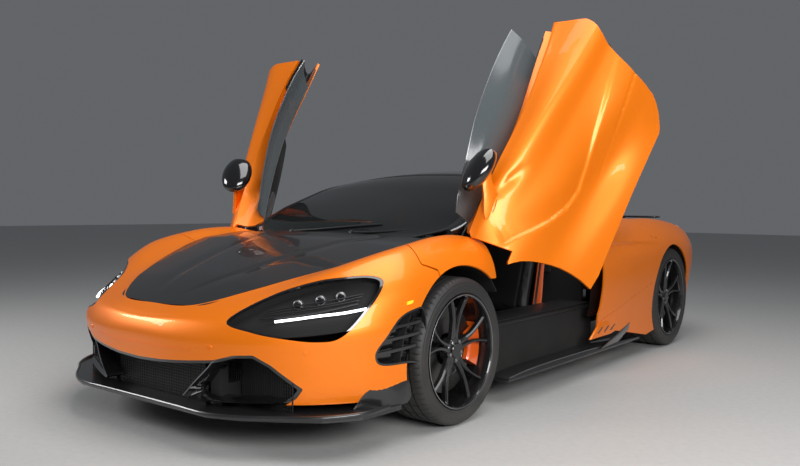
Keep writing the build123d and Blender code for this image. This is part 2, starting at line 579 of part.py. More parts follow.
# ---------------------------------------------------------------- rear
LIGHT_OUTLINE = [(-640, 640), (-600, 790), (0, 800), (600, 790), (640, 640), (420, 560), (-420, 560)]
LIGHT_DEPTH = 40.0
PIPE_X, PIPE_Z, PIPE_R, PIPE_WALL, PIPE_END_Y = 150.0, 640.0, 52.0, 8.0, 2245.0
ENGINE = dict(half=330, front=480, rear=1130, low=200, top=740)
save("rear_bumper", biggest(tail_plate(PANEL_T) - prism_y(LIGHT_OUTLINE, 1900, 2400)))
lights = tail_plate(LIGHT_DEPTH) & prism_y(offset_outline(LIGHT_OUTLINE, -SEAT_GAP - 0.1), 1900, 2400)
pipe = Pos(PIPE_X, (ENGINE["rear"] + PIPE_END_Y) / 2, PIPE_Z) * Rot(90, 0, 0)
pipe_length = PIPE_END_Y - ENGINE["rear"]
pipe_hole = pipe * Cylinder(PIPE_R + SEAT_GAP, pipe_length + 400)
save("tail_lights", biggest(lights - both_sides(pipe_hole)))
save("exhausts", both_sides(pipe * (Cylinder(PIPE_R, pipe_length) - Cylinder(PIPE_R - PIPE_WALL, pipe_length))))

# Deck behind the cabin, between the quarters' inner edges, with two pads for the wing
DECK_FRONT_Y, DECK_T, DECK_CROWN = 1508.0, 12.0, 8.0
WING_Z, WING_T = 894.0, 16.0
_, deck_x, deck_z = between(BELT, DECK_FRONT_Y)
deck_edges = [Vector(deck_x, DECK_FRONT_Y, deck_z)]
deck_edges += [side_grid[SIDE_STATION["quarter_c"]][-1], side_grid[-1][-1]]
deck_edges += [line[-1] for line in rear_grid[1:-1]]
deck_rows = [[Vector(-u * (e.X - SEAT_GAP), e.Y - SEAT_GAP, e.Z - 0.5 + DECK_CROWN * (1 - u * u))
              for u in BONNET_SPREAD] for e in deck_edges]
deck = skin(deck_rows, DECK_T) - [tail_plate(PANEL_T)] - both_sides(side_plate("door_c", "tail_a", PANEL_T))
pads = both_sides(block(250, 330, 2048, 2080, 876, WING_Z))
save("rear_deck", biggest(biggest(deck) + pads))
wing_plan = [(-600, 2040), (600, 2040), (560, 2235), (300, 2262), (-300, 2262), (-560, 2235)]
save("rear_wing", prism_z(wing_plan, WING_Z, WING_Z + WING_T))

# ---------------------------------------------------------------- structure below
RAIL_X0, RAIL_X1, RAIL_Z0, RAIL_Z1 = 330.0, 390.0, 190.0, 250.0     # subframe rails
BEAM_X, BEAM_Z0, BEAM_Z1, BEAM_REACH = 420.0, 395.0, 450.0, 130.0
FRAME_FRONT_Y, FRAME_REAR_Y, UPRIGHT_L = -2150.0, 2150.0, 40.0
TOWER_L, TOWER_TOP = 120.0, 480.0

front_frame = block(-BEAM_X, BEAM_X, -2280, FRAME_FRONT_Y + UPRIGHT_L / 2, BEAM_Z0, BEAM_Z1)
front_frame = biggest(front_frame - nose_plate("corner_b", PANEL_T + SEAT_GAP))
rear_frame = block(-BEAM_X, BEAM_X, FRAME_REAR_Y - UPRIGHT_L / 2, 2290, BEAM_Z0, BEAM_Z1)
rear_frame = biggest(rear_frame - tail_plate(PANEL_T + SEAT_GAP))
for sign in (1, -1):
    x0, x1 = sorted((sign * RAIL_X0, sign * RAIL_X1))
    front_frame = front_frame + block(x0, x1, FRAME_FRONT_Y, TUB_FRONT_Y, RAIL_Z0, RAIL_Z1)
    front_frame = front_frame + block(x0, x1, FRAME_FRONT_Y, FRAME_FRONT_Y + UPRIGHT_L, splitter_top, BEAM_Z1)
    front_frame = front_frame + block(x0, x1, FRONT_AXLE_Y - TOWER_L / 2, FRONT_AXLE_Y + TOWER_L / 2, RAIL_Z0,
                                      TOWER_TOP)
    rear_frame = rear_frame + block(x0, x1, TUB_REAR_Y, FRAME_REAR_Y, RAIL_Z0, RAIL_Z1)
    rear_frame = rear_frame + block(x0, x1, FRAME_REAR_Y - UPRIGHT_L, FRAME_REAR_Y, RAIL_Z0, BEAM_Z1)
    rear_frame = rear_frame + block(x0, x1, REAR_AXLE_Y - TOWER_L / 2, REAR_AXLE_Y + TOWER_L / 2, RAIL_Z0,
                                    TOWER_TOP)
save("subframes", [biggest(front_frame), biggest(rear_frame)])
save("engine", block(-ENGINE["half"], ENGINE["half"], ENGINE["front"], ENGINE["rear"], ENGINE["low"],
                     ENGINE["top"]))

# luggage bin under the bonnet, open at the top
BIN_X, BIN_WALL, BIN_FRONT_Y = 318.0, 6.0, -1880.0
BIN_PROFILE = [(BIN_FRONT_Y, 240), (BIN_FRONT_Y, 590), (TUB_FRONT_Y, 765), (TUB_FRONT_Y, 240)]
bin_hollow = [(BIN_FRONT_Y + BIN_WALL, 240 + BIN_WALL), (BIN_FRONT_Y + BIN_WALL, 900), (TUB_FRONT_Y - BIN_WALL, 900),
              (TUB_FRONT_Y - BIN_WALL, 240 + BIN_WALL)]
save("luggage_bin", prism_x(BIN_PROFILE, -BIN_X, BIN_X) - prism_x(bin_hollow, -BIN_X + BIN_WALL, BIN_X - BIN_WALL))

SKIRT_OUTLINE = [(-835, 106), (-835, 132), (100, 238), (172, 250), (860, 132), (870, 106)]
save("side_skirts", both_sides(prism_x(SKIRT_OUTLINE, SILL_X, 932)))
TRAY_T, TRAY_FRONT_X, TRAY_REAR_X, DIFFUSER_T = 28.0, 470.0, 560.0, 10.0
save("underbody", [block(-TRAY_FRONT_X, TRAY_FRONT_X, -2100, TUB_FRONT_Y, SPLITTER_Z - TRAY_T, SPLITTER_Z),
                   block(-TRAY_REAR_X, TRAY_REAR_X, TUB_REAR_Y, FRAME_REAR_Y, RAIL_Z0 - DIFFUSER_T, RAIL_Z0)])

# ---------------------------------------------------------------- cabin
DASH_X = 600.0
dash_profile = [(POST_Y1, 560), (-640, 560), (-600, 700), (-660, 780), (POST_Y1, COWL_TOP)]
dashboard = prism_x(dash_profile, -DASH_X, DASH_X)
save("dashboard", dashboard)
WHEEL_AT, WHEEL_TILT, WHEEL_R, WHEEL_GRIP_R = (370, -520, 700), -68, 178, 16
steering = Torus(WHEEL_R, WHEEL_GRIP_R) + Box(2 * WHEEL_R - 16, 40, 14) + Cylinder(48, 30)
steering = steering + Pos(0, 0, -75) * Cylinder(28, 150)
save("steering_wheel", biggest(Pos(*WHEEL_AT) * Rot(WHEEL_TILT, 0, 0) * steering - dashboard))
SEAT_X0, SEAT_X1, PAD_INSET = 140.0, 560.0, 26.0
shell_profile = [(-340, floor_top), (-340, 230), (150, 230), (262, 790), (322, 790), (235, floor_top)]
save("seat_shells", both_sides(prism_x(shell_profile, SEAT_X0, SEAT_X1)))
cushion_profile = [(-334, 230), (-334, 300), (-290, 314), (60, 300), (140, 230)]
back_profile = [(152, 240), (70, 318), (92, 400), (150, 740), (180, 776), (258, 770)]
save("seat_pads", [solid for profile in (cushion_profile, back_profile)
                   for solid in both_sides(prism_x(profile, SEAT_X0 + PAD_INSET, SEAT_X1 - PAD_INSET))])

# ---------------------------------------------------------------- wheels
SHOULDER_R, BARREL_T, DISC_INSET, DISC_T = 22.0, 14.0, 110.0, 30.0
HUB_R, HUB_INSET, HUB_L, STUB_R, STUB_INSET = 62.0, 55.0, 80.0, 30.0, 52.5
SPOKE_T, SPOKE_INSET = 26.0, 30.0
# half of one forked spoke, (reach, sideways) in rim radii
SPOKE = [(0.18, 0.10), (0.48, 0.085), (0.93, 0.30), (0.955, 0.235), (0.62, 0.0)]


def tyre(diameter, width, rim_diameter):
    body = Cylinder(diameter / 2, width) - Cylinder(rim_diameter / 2, width)
    outer = [e for e in body.edges().filter_by(GeomType.CIRCLE) if e.radius > rim_diameter / 2 + 1]
    return fillet(outer, SHOULDER_R)


def rim(rim_diameter, width, disc_r):
    """Rim, forked spokes, hub and brake disc; the hub's bore opens inwards."""
    outer = rim_diameter / 2 - SEAT_GAP
    wheel = Cylinder(outer, width - 10) - Cylinder(outer - BARREL_T, width - 10)
    outline = SPOKE + [(x, -y) for x, y in reversed(SPOKE[:-1])]
    face = Face(Wire.make_polygon([Vector(x * outer, y * outer, 0) for x, y in outline], close=True))
    spoke = Pos(0, 0, width / 2 - SPOKE_INSET - SPOKE_T / 2) * Solid.extrude(face, Vector(0, 0, SPOKE_T))
    wheel = wheel + [Rot(0, 0, 72 * k + 90) * spoke for k in range(5)]
    wheel = wheel + Pos(0, 0, width / 2 - HUB_INSET) * Cylinder(HUB_R, HUB_L)
    wheel = wheel + Pos(0, 0, width / 2 - DISC_INSET) * Cylinder(disc_r, DISC_T)
    bore_0, bore_1 = width / 2 - DISC_INSET - DISC_T, width / 2 - STUB_INSET
    return wheel - Pos(0, 0, (bore_0 + bore_1) / 2) * Cylinder(STUB_R + PIN_PLAY, bore_1 - bore_0)


CALIPER_IN, CALIPER_OUT, CALIPER_W, CALIPER_H, RIM_CLEAR = 55.0, 50.0, 140.0, 210.0, 22.0
KNUCKLE_W, KNUCKLE_L, KNUCKLE_H = 40.0, 110.0, 220.0
KINGPIN_INSET, REAR_KNUCKLE_INSET, KINGPIN_R = 90.0, 102.0, 12.0
ARM_T, ARM_W, ARM_GAP, ARM_EYE = 22.0, 50.0, 5.0, 30.0


def caliper(axle_y, axle_z, disc_x, rim_r, disc_r, behind):
    """Brake caliper over the disc, behind (+1) or ahead (-1) of the axle."""
    x0, x1 = disc_x - CALIPER_IN, disc_x + CALIPER_OUT
    sector = drum_x(rim_r - RIM_CLEAR, x0, x1, axle_y, axle_z) - drum_x(disc_r - 65, x0, x1, axle_y, axle_z)
    ys = sorted((axle_y + behind * 100, axle_y + behind * (100 + CALIPER_W)))
    sector = sector & block(x0, x1, *ys, axle_z - CALIPER_H / 2, axle_z + CALIPER_H / 2)
    slot = DISC_T / 2 + 5
    return biggest(sector - drum_x(disc_r + 6, disc_x - slot, disc_x + slot, axle_y, axle_z))


def upright(x, axle_y, axle_z, disc_x, disc_r, behind):
    """Knuckle with its stub axle and the bracket that carries the caliper."""
    post = block(x - KNUCKLE_W / 2, x + KNUCKLE_W / 2, axle_y - KNUCKLE_L / 2, axle_y + KNUCKLE_L / 2,
                 axle_z - KNUCKLE_H / 2, axle_z + KNUCKLE_H / 2)
    post = post + drum_x(STUB_R, x, disc_x + DISC_INSET - STUB_INSET - 2, axle_y, axle_z)
    ys = sorted((axle_y + behind * 20, axle_y + behind * (disc_r - 8)))
    return post + block(x, disc_x - CALIPER_IN, *ys, axle_z - 27, axle_z + 27)


AXLES = (("front", FRONT_AXLE_Y, FRONT_HALF_TRACK, front_tyre_d, FRONT_TYRE_W, FRONT_RIM_D),
         ("rear", REAR_AXLE_Y, REAR_HALF_TRACK, rear_tyre_d, REAR_TYRE_W, REAR_RIM_D))
arms, rear_knuckles, rear_calipers = [], [], []
for axle, axle_y, half_track, tyre_d, tyre_w, rim_d in AXLES:
    axle_z = tyre_d / 2
    disc_r = rim_d / 2 - 59
    disc_x = half_track + tyre_w / 2 - DISC_INSET
    for side, sign in (("left", 1), ("right", -1)):
        spot = Pos(sign * half_track, axle_y, axle_z) * Rot(0, sign * 90, 0)
        save(f"tyre_{axle}_{side}", spot * tyre(tyre_d, tyre_w, rim_d))
        save(f"rim_{axle}_{side}", spot * rim(rim_d, tyre_w, disc_r))
    if axle == "front":
        x = half_track - KINGPIN_INSET
        knuckle = upright(x, axle_y, axle_z, disc_x, disc_r, 1)
        top, low = axle_z + KNUCKLE_H / 2, axle_z - KNUCKLE_H / 2
        knuckle = knuckle + drum_z(KINGPIN_R, x, axle_y, low - ARM_GAP - ARM_T - 3, top + ARM_GAP + ARM_T + 3)
        for side, shape in zip(("left", "right"), both_sides(knuckle)):
            save(f"knuckle_{side}", shape)
        for side, shape in zip(("left", "right"), both_sides(caliper(axle_y, axle_z, disc_x, rim_d / 2, disc_r, 1))):
            save(f"caliper_{side}", shape)
        for z0 in (low - ARM_GAP - ARM_T, top + ARM_GAP):
            arm = block(RAIL_X1, x + ARM_EYE, axle_y - ARM_W / 2, axle_y + ARM_W / 2, z0, z0 + ARM_T)
            arms += both_sides(arm - drum_z(KINGPIN_R + PIN_PLAY, x, axle_y, z0 - 5, z0 + ARM_T + 5))
    else:
        x = half_track - REAR_KNUCKLE_INSET
        rear_knuckles = both_sides(upright(x, axle_y, axle_z, disc_x, disc_r, -1))
        rear_calipers = both_sides(caliper(axle_y, axle_z, disc_x, rim_d / 2, disc_r, -1))
        for z0 in (axle_z - KNUCKLE_H / 2 + 10, axle_z + KNUCKLE_H / 2 - 30):
            arms += both_sides(block(RAIL_X1, x - KNUCKLE_W / 2, axle_y - ARM_W / 2, axle_y + ARM_W / 2, z0,
                                     z0 + ARM_T))
save("rear_knuckles", rear_knuckles)
save("rear_calipers", rear_calipers)
save("suspension_arms", arms)

# Wheel-arch liners: rings over the wheels that end just under the body panels
LINER_FRONT_X, LINER_REAR_X, LINER_SEAT = 560.0, 640.0, 0.8
LINER_FRONT_END, LINER_REAR_END, LINER_LIFT = 925.0, 940.0, 80.0     # outer ends, behind the panels
LINER_FRONT_LOW, LINER_REAR_LOW = 230.0, 250.0


def liner(axle_y, axle_z, radius, x0, x1, low, obstacles):
    ring = drum_x(radius + LINER_T, x0, x1, axle_y, axle_z) - drum_x(radius, x0, x1, axle_y, axle_z)
    ring = ring & block(x0, x1, axle_y - 600, axle_y + 600, low, 1000)
    return biggest(ring - obstacles)


# kept clear of the front ring: lamps, the post ahead of the door, and the door's front edge
lamp_room = nose_plate("arch_rise", LAMP_DEPTH + LINER_SEAT) & prism_y(offset_outline(LAMP, 2), -2400, -1500)
front_liner = liner(FRONT_AXLE_Y, front_axle_z, front_axle_z + FRONT_LINER_GAP, LINER_FRONT_X, LINER_FRONT_END,
                    LINER_FRONT_LOW,
                    [nose_plate("arch_rise", PANEL_T), nose_plate("arch_rise", PANEL_T + LINER_SEAT),
                     wing_plate(PANEL_T + LINER_SEAT, 0), block(400, POST_X + 8, POST_Y0 - 20, -700, 90, 800),
                     block(870, 1100, -950, -700, 90, 640)] + lamp_room.solids())
rear_liner = liner(REAR_AXLE_Y, rear_axle_z, rear_axle_z + REAR_LINER_GAP, LINER_REAR_X, LINER_REAR_END,
                   LINER_REAR_LOW,
                   [side_plate("door_c", "tail_a", PANEL_T),
                    side_plate("door_c", "tail_a", PANEL_T + LINER_SEAT, lift=LINER_LIFT)])
save("wheel_liners", both_sides(front_liner) + both_sides(rear_liner))
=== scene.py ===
from math import atan2, cos, pi, radians, sin
import bmesh
import bpy
import numpy as np
from mathutils import Matrix, Vector


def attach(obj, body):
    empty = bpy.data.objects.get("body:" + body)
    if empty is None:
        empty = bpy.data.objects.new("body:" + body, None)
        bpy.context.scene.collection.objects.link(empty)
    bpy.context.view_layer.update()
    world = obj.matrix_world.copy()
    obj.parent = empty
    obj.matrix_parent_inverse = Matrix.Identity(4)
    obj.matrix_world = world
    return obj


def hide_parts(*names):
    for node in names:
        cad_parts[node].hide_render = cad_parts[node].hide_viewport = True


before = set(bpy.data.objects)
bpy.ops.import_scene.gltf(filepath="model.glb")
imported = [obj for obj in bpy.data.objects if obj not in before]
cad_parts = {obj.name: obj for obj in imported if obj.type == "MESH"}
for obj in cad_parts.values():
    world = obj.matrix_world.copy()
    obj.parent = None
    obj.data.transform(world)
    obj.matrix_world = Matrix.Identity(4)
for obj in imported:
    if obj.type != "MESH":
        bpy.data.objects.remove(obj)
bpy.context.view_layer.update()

# Lengths in the tables are millimetres in the car's frame: -Y forwards, +X its left side, +Z up.
MM = 0.001
SIDES = (("left", 1), ("right", -1))   # name, sign of x
FRONT_AXLE = (-1268.5, 327.0)          # y, z
REAR_AXLE = (1401.5, 345.5)
DOOR_AXIS = (0.864, -0.286, -0.414)
DOOR_PIVOT = (628.0, -946.5, 850.0)
DOOR_SWING = 61.5                      # degrees from shut to open
BONNET_REAR_Y = -1130.0

# Stations round half the body: plan x, plan y, heading of the inward direction, then (inset, height) pairs.
# The front runs from the nose to the end of the front wing: hem, low, waist, mid, upper, crest, inner edge.
FRONT = [
    (0, -2270, 0, (6, 200), (14, 280), (10, 352), (0, 430), (14, 482), (34, 508), None),
    (250, -2256, 6, (8, 200), (14, 280), (10, 356), (0, 430), (18, 490), (48, 523), None),
    (462, -2202, 18, (14, 200), (12, 285), (6, 370), (0, 440), (26, 506), (95, 560), None),
    (640, -2112, 34, (20, 198), (14, 285), (5, 375), (2, 455), (40, 535), (150, 614), None),
    (782, -1982, 52, (24, 196), (16, 285), (6, 375), (4, 470), (50, 570), (175, 666), None),
    (882, -1825, 70, (24, 194), (14, 285), (6, 380), (4, 490), (46, 610), (165, 716), None),
    (938, -1650, 84, (16, 192), (10, 285), (4, 390), (2, 510), (34, 650), (150, 762), None),
    (957, -1450, 90, (14, 190), (10, 290), (6, 400), (2, 560), (30, 690), (145, 800), None),
    (964, -1268, 90, (14, 190), (10, 290), (6, 420), (2, 600), (28, 710), (150, 824), None),
    (962, -1090, 90, (16, 190), (12, 290), (8, 420), (2, 600), (28, 715), (140, 824), (286, 811)),
    (958, -955, 90, (20, 170), (18, 280), (16, 420), (4, 600), (30, 720), (90, 800), (266, 802)),
]
# The side goes on over the ridge, down into the air channel and up to the foot of the side window.
SIDE = [
    (960, -1010, 90, (18, 178), (16, 284), (13, 420), (3, 600), (29, 718), (84, 798), (122, 814),
     (178, 797), (262, 783)),
    (958, -955, 90, (20, 170), (18, 280), (16, 420), (4, 600), (30, 720), (75, 800), (112, 826),
     (175, 799), (260, 786)),
    (950, -700, 90, (18, 150), (22, 265), (40, 400), (16, 560), (30, 700), (50, 826), (104, 872),
     (176, 826), (238, 806)),
    (946, -300, 90, (14, 125), (24, 250), (60, 380), (30, 540), (34, 690), (31, 838), (133, 896),
     (188, 838), (248, 851)),
    (956, 100, 90, (14, 120), (22, 250), (16, 385), (2, 560), (24, 710), (38, 850), (202, 943),
     (252, 824), (337, 906)),
    (964, 380, 90, (20, 120), (20, 250), (8, 390), (0, 570), (22, 730), (48, 868), (280, 972), (300, 812),
     (398, 943)),
    (965, 800, 90, (22, 120), (20, 250), (8, 400), (0, 580), (20, 745), (110, 880), (250, 905),
     (320, 904), (388, 922)),
    (965, 1401, 90, (22, 190), (20, 300), (10, 440), (0, 610), (22, 760), (135, 884), (260, 892),
     (350, 890), (430, 893)),
    (948, 1790, 95, (30, 230), (22, 320), (10, 450), (0, 600), (24, 740), (120, 850), (250, 880),
     (290, 882), (330, 884)),
    (888, 2050, 110, (60, 250), (40, 340), (16, 460), (2, 600), (24, 730), (100, 825), (230, 872),
     (250, 874), (270, 876)),
]
TAIL = [
    (770, 2190, 138, (90, 260), (60, 350), (20, 470), (4, 600), (20, 720), (70, 815), (190, 876)),
    (570, 2252, 162, (100, 265), (70, 355), (24, 480), (4, 600), (14, 720), (50, 820), (170, 882)),
    (290, 2269, 175, (100, 265), (70, 355), (24, 480), (4, 600), (12, 720), (40, 825), (150, 884)),
    (0, 2271, 180, (100, 265), (70, 355), (24, 480), (4, 600), (12, 720), (40, 825), (150, 885)),
]
# Canopy sections across the car: y, centre height, rail x, rail z
CANOPY = [
    (-1090, 800, 560, 812), (-980, 868, 690, 852), (-800, 955, 704, 938), (-600, 1040, 704, 1010),
    (-430, 1105, 694, 1066), (-200, 1165, 664, 1108), (0, 1191, 628, 1124), (139, 1196, 596, 1122),
    (300, 1188, 560, 1100), (600, 1140, 500, 1050), (900, 1068, 430, 985), (1200, 990, 360, 930),
    (1500, 925, 300, 900),
]

# Bonnet edge, front to rear: half width, y, z
BONNET_EDGE = [
    (0, -2185, 548), (150, -2176, 549), (283, -2150, 558), (354, -2071, 588), (429, -1963, 627),
    (515, -1817, 669), (598, -1656, 712), (678, -1479, 754), (700, -1366, 781), (690, -1150, 806),
    (640, -1100, 812),
]
BONNET_GAP = 4.0

# ---------------------------------------------------------------- curves and surfaces
def spline(values, knots, at):
    """Smooth curve through rows of values at rising knots, read at the places in at."""
    v, k, at = np.asarray(values, float), np.asarray(knots, float), np.asarray(at, float)
    step = np.diff(k)
    column = (-1,) + (1,) * (v.ndim - 1)
    slope = np.diff(v, axis=0) / step.reshape(column)
    m = np.empty_like(v)
    m[0], m[-1] = slope[0], slope[-1]
    share = (step[:-1] / (step[:-1] + step[1:])).reshape(column)
    m[1:-1] = slope[1:] * share + slope[:-1] * (1 - share)
    i = np.clip(np.searchsorted(k, at, side="right") - 1, 0, len(step) - 1)
    t = ((at - k[i]) / step[i]).reshape(column)
    h = step[i].reshape(column)
    return ((1 + 2 * t) * (1 - t) ** 2 * v[i] + t * (1 - t) ** 2 * h * m[i]
            + t * t * (3 - 2 * t) * v[i + 1] + t * t * (t - 1) * h * m[i + 1])


def through(points, count, closed=False):
    """Evenly read smooth curve through points."""
    p = np.asarray(points, float)
    if closed:
        p = np.vstack([p[-2:], p, p[:3]])
    k = np.r_[0, np.cumsum(np.sqrt(np.linalg.norm(np.diff(p, axis=0), axis=1)))]
    if closed:
        return spline(p, k, np.linspace(k[2], k[-3], count, endpoint=False))
    return spline(p, k, np.linspace(k[0], k[-1], count))


def bonnet_edge_inset(plan_x, plan_y, turn):
    """Inset and height at which a station's line meets the bonnet's edge, seen from above."""
    dx, dy = -sin(turn), cos(turn)
    for (x0, y0, z0), (x1, y1, z1) in zip(BONNET_EDGE, BONNET_EDGE[1:]):
        cross = dx * (y1 - y0) - dy * (x1 - x0)
        if abs(cross) > 1e-9:
            t = ((x0 - plan_x) * dy - (y0 - plan_y) * dx) / cross
            reach = (x0 + t * (x1 - x0) - plan_x) * dx + (y0 + t * (y1 - y0) - plan_y) * dy
            if -1e-6 <= t <= 1 + 1e-6 and reach > 0:
                return reach, z0 + t * (z1 - z0)
    raise ValueError("the station's line misses the bonnet's edge")


def band_point(row, column):
    """Point of a station at a column, in millimetres."""
    plan_x, plan_y, heading = row[:3]
    turn = radians(heading)
    pair = row[3 + column]
    if pair is None:
        reach, height = bonnet_edge_inset(plan_x, plan_y, turn)
        pair = (reach - BONNET_GAP, height)
    inset, height = pair
    return (plan_x - sin(turn) * inset, plan_y + cos(turn) * inset, height)


MIRROR = np.array([-1.0, 1.0, 1.0])


def table_points(rows):
    """Points of a body table: stations by columns by x, y and z."""
    return np.array([[band_point(row, j) for j in range(len(row) - 3)] for row in rows])


def surface(points, u, v, crease=None):
    """Smooth grid over a table of points, at row numbers u and column numbers v, sharp along one column."""
    row_knots = np.r_[0, np.cumsum(np.linalg.norm(np.diff(points[:, 3], axis=0), axis=1))]
    knots = np.r_[0, np.cumsum(np.linalg.norm(np.diff(points, axis=1), axis=2).mean(0))]
    lines = np.swapaxes(spline(points, row_knots, np.interp(u, np.arange(len(row_knots)), row_knots)), 0, 1)
    at, v = np.interp(v, np.arange(len(knots)), knots), np.asarray(v)
    if crease is None:
        return np.swapaxes(spline(lines, knots, at), 0, 1)
    low = spline(lines[:crease + 1], knots[:crease + 1], at[v <= crease])
    high = spline(lines[crease:], knots[crease:], at[v > crease])
    return np.swapaxes(np.concatenate([low, high]), 0, 1)


half_front, tail_rows = table_points(FRONT), table_points([row[:10] for row in SIDE[-2:]] + TAIL)
FRONT_POINTS = np.concatenate([half_front[:0:-1] * MIRROR, half_front])
SIDE_POINTS = table_points(SIDE)
TAIL_POINTS = np.concatenate([tail_rows, tail_rows[-2::-1] * MIRROR])
NOSE_ROW = len(half_front) - 1         # row of the nose in FRONT_POINTS


def grid_mesh(points):
    """Corner list and quads of a grid, outward for rows that run rearwards on the left side."""
    rows, columns = points.shape[:2]
    index = np.arange(rows * columns).reshape(rows, columns)
    quads = np.stack([index[:-1, :-1], index[1:, :-1], index[1:, 1:], index[:-1, 1:]], -1).reshape(-1, 4)
    return points.reshape(-1, 3).copy(), [tuple(q) for q in quads]


def flip(mesh):
    return mesh[0], [tuple(reversed(f)) for f in mesh[1]]


def facing(mesh, axis):
    """A mesh turned over if most of it faces down an axis."""
    return mesh if corner_normals(*mesh)[:, axis].mean() > 0 else flip(mesh)


def mirrored(mesh):
    return mesh[0] * MIRROR, [tuple(reversed(f)) for f in mesh[1]]


def on_side(sign):
    """What puts a mesh of the left side on the side with that sign."""
    return mirrored if sign < 0 else lambda mesh: mesh


def join(*meshes):
    verts, faces, base = [], [], 0
    for v, f in meshes:
        verts.append(np.asarray(v, float))
        faces += [tuple(i + base for i in face) for face in f]
        base += len(v)
    return np.vstack(verts), faces


# ---------------------------------------------------------------- cutting a surface along outlines
def outline_field(points, axes=(1, 2), smooth=0, grow=0.0):
    """Signed distance to a closed outline seen along one axis, positive inside."""
    p = through(points, smooth, closed=True) if smooth else np.asarray(points, float)
    a, b = p, np.roll(p, -1, axis=0)
    ab = b - a

    def field(verts):
        q = verts[:, list(axes)]
        best = np.full(len(q), 1e9)
        inside = np.zeros(len(q), bool)
        for s, e, d in zip(a, b, ab):
            t = np.clip(((q - s) @ d) / max(d @ d, 1e-12), 0, 1)
            best = np.minimum(best, np.linalg.norm(q - s - t[:, None] * d, axis=1))
            crosses = (s[1] > q[:, 1]) != (e[1] > q[:, 1])
            if abs(d[1]) > 1e-12:
                inside ^= crosses & (q[:, 0] < s[0] + (q[:, 1] - s[1]) * d[0] / d[1])
        return np.where(inside, best, -best) + grow
    return field


def outside(field):
    return lambda verts: -field(verts)


def beyond(axis, value, sign=1):
    """Positive on the high side of a plane, or on the low side with sign -1."""
    return lambda verts: sign * (verts[:, axis] - value)


def round_field(centre, radius):
    """Positive outside a cylinder that runs along X."""
    return lambda verts: np.hypot(verts[:, 1] - centre[0], verts[:, 2] - centre[1]) - radius


def clip(mesh, *fields):
    """The part of a mesh where each field of its points is positive, cut cleanly along zero."""
    for field in fields:
        mesh = clip_once(mesh, field(mesh[0]))
    return mesh


def clip_once(mesh, f):
    verts, faces = mesh
    points = [tuple(p) for p in verts]
    made, kept = {}, []
    positive = f > 0

    def crossing(i, j):
        key = (min(i, j), max(i, j))
        if key not in made:
            t = f[i] / (f[i] - f[j])
            made[key] = len(points)
            points.append(tuple(verts[i] + (verts[j] - verts[i]) * t))
        return made[key]

    for face in faces:
        states = [positive[i] for i in face]
        if all(states):
            kept.append(face)
        elif any(states):
            loop = []
            for n, i in enumerate(face):
                j = face[(n + 1) % len(face)]
                if positive[i]:
                    loop.append(i)
                if positive[i] != positive[j]:
                    loop.append(crossing(i, j))
            if len(loop) > 2:
                kept.append(tuple(loop))
    return tidy((np.array(points), kept))


def tidy(mesh):
    """Drops unused corners."""
    verts, faces = mesh
    used = sorted({i for f in faces for i in f})
    where = {i: n for n, i in enumerate(used)}
    return verts[used], [tuple(where[i] for i in f) for f in faces]


def corner_normals(verts, faces):
    """Unit normals at the corners of a mesh, from the faces round each."""
    normals = np.zeros_like(verts)
    for f in faces:
        p = verts[list(f)]
        n = np.zeros(3)
        for k in range(1, len(f) - 1):
            n += np.cross(p[k] - p[0], p[k + 1] - p[0])
        normals[list(f)] += n
    length = np.linalg.norm(normals, axis=1, keepdims=True)
    return normals / np.maximum(length, 1e-12)


def open_edges(faces):
    """Edges with a face on one side only, in that face's direction."""
    edges = {edge: True for f in faces for edge in zip(f, f[1:] + f[:1])}
    return [(i, j) for i, j in edges if (j, i) not in edges]


def thicken(mesh, depth):
    """Closed plate under a surface."""
    verts, faces = mesh
    count = len(verts)
    under = verts - corner_normals(verts, faces) * depth
    closed = list(faces) + [tuple(i + count for i in reversed(f)) for f in faces]
    closed += [(j, i, i + count, j + count) for i, j in open_edges(faces)]
    return np.vstack([verts, under]), closed


# ---------------------------------------------------------------- small solid shapes
def outward(mesh):
    """A closed mesh with its faces turned outwards."""
    verts, faces = mesh
    centre = verts.mean(0)
    volume = 0.0
    for f in faces:
        p = verts[list(f)] - centre
        for k in range(1, len(f) - 1):
            volume += p[0] @ np.cross(p[k], p[k + 1])
    return mesh if volume > 0 else flip(mesh)


SOFT_ANGLE = radians(28)


def softened(mesh, width, segments=2):
    """Rounds the edges of a closed mesh that are sharper than the soft angle."""
    verts, faces = mesh
    bm = bmesh.new()
    corners = [bm.verts.new(v) for v in verts]
    for f in faces:
        bm.faces.new([corners[i] for i in f])
    bm.normal_update()
    edges = [e for e in bm.edges if len(e.link_faces) == 2 and e.calc_face_angle() > SOFT_ANGLE]
    bmesh.ops.bevel(bm, geom=edges, offset=width, segments=segments, profile=0.5, affect="EDGES",
                    clamp_overlap=True)
    bm.verts.index_update()
    result = np.array([v.co[:] for v in bm.verts]), [tuple(v.index for v in f.verts) for f in bm.faces]
    bm.free()
    return result


def prism(outline, axis, low, high, soft=2.0):
    """Straight body over an outline; axis 0 takes (y, z), 1 takes (x, z) and 2 takes (x, y)."""
    count = len(outline)
    verts = np.zeros((2 * count, 3))
    others = [k for k in range(3) if k != axis]
    verts[:count, others] = verts[count:, others] = outline
    verts[:count, axis], verts[count:, axis] = low, high
    faces = [tuple(range(count))[::-1], tuple(range(count, 2 * count))]
    faces += [(i, (i + 1) % count, (i + 1) % count + count, i + count) for i in range(count)]
    mesh = outward((verts, faces))
    return softened(mesh, soft) if soft else mesh


def swept(sections):
    """Bar through equal sections, each a loop of points, with capped ends."""
    verts, faces = grid_mesh(np.array([list(loop) + [loop[0]] for loop in sections]))
    count, last = len(sections[0]), len(verts)
    ends = [tuple(range(count)), tuple(range(last - 2, last - 2 - count, -1))]
    return outward((verts, faces + ends))


def block(x0, x1, y0, y1, z0, z1, soft=3.0):
    return prism([(y0, z0), (y1, z0), (y1, z1), (y0, z1)], 0, x0, x1, soft)


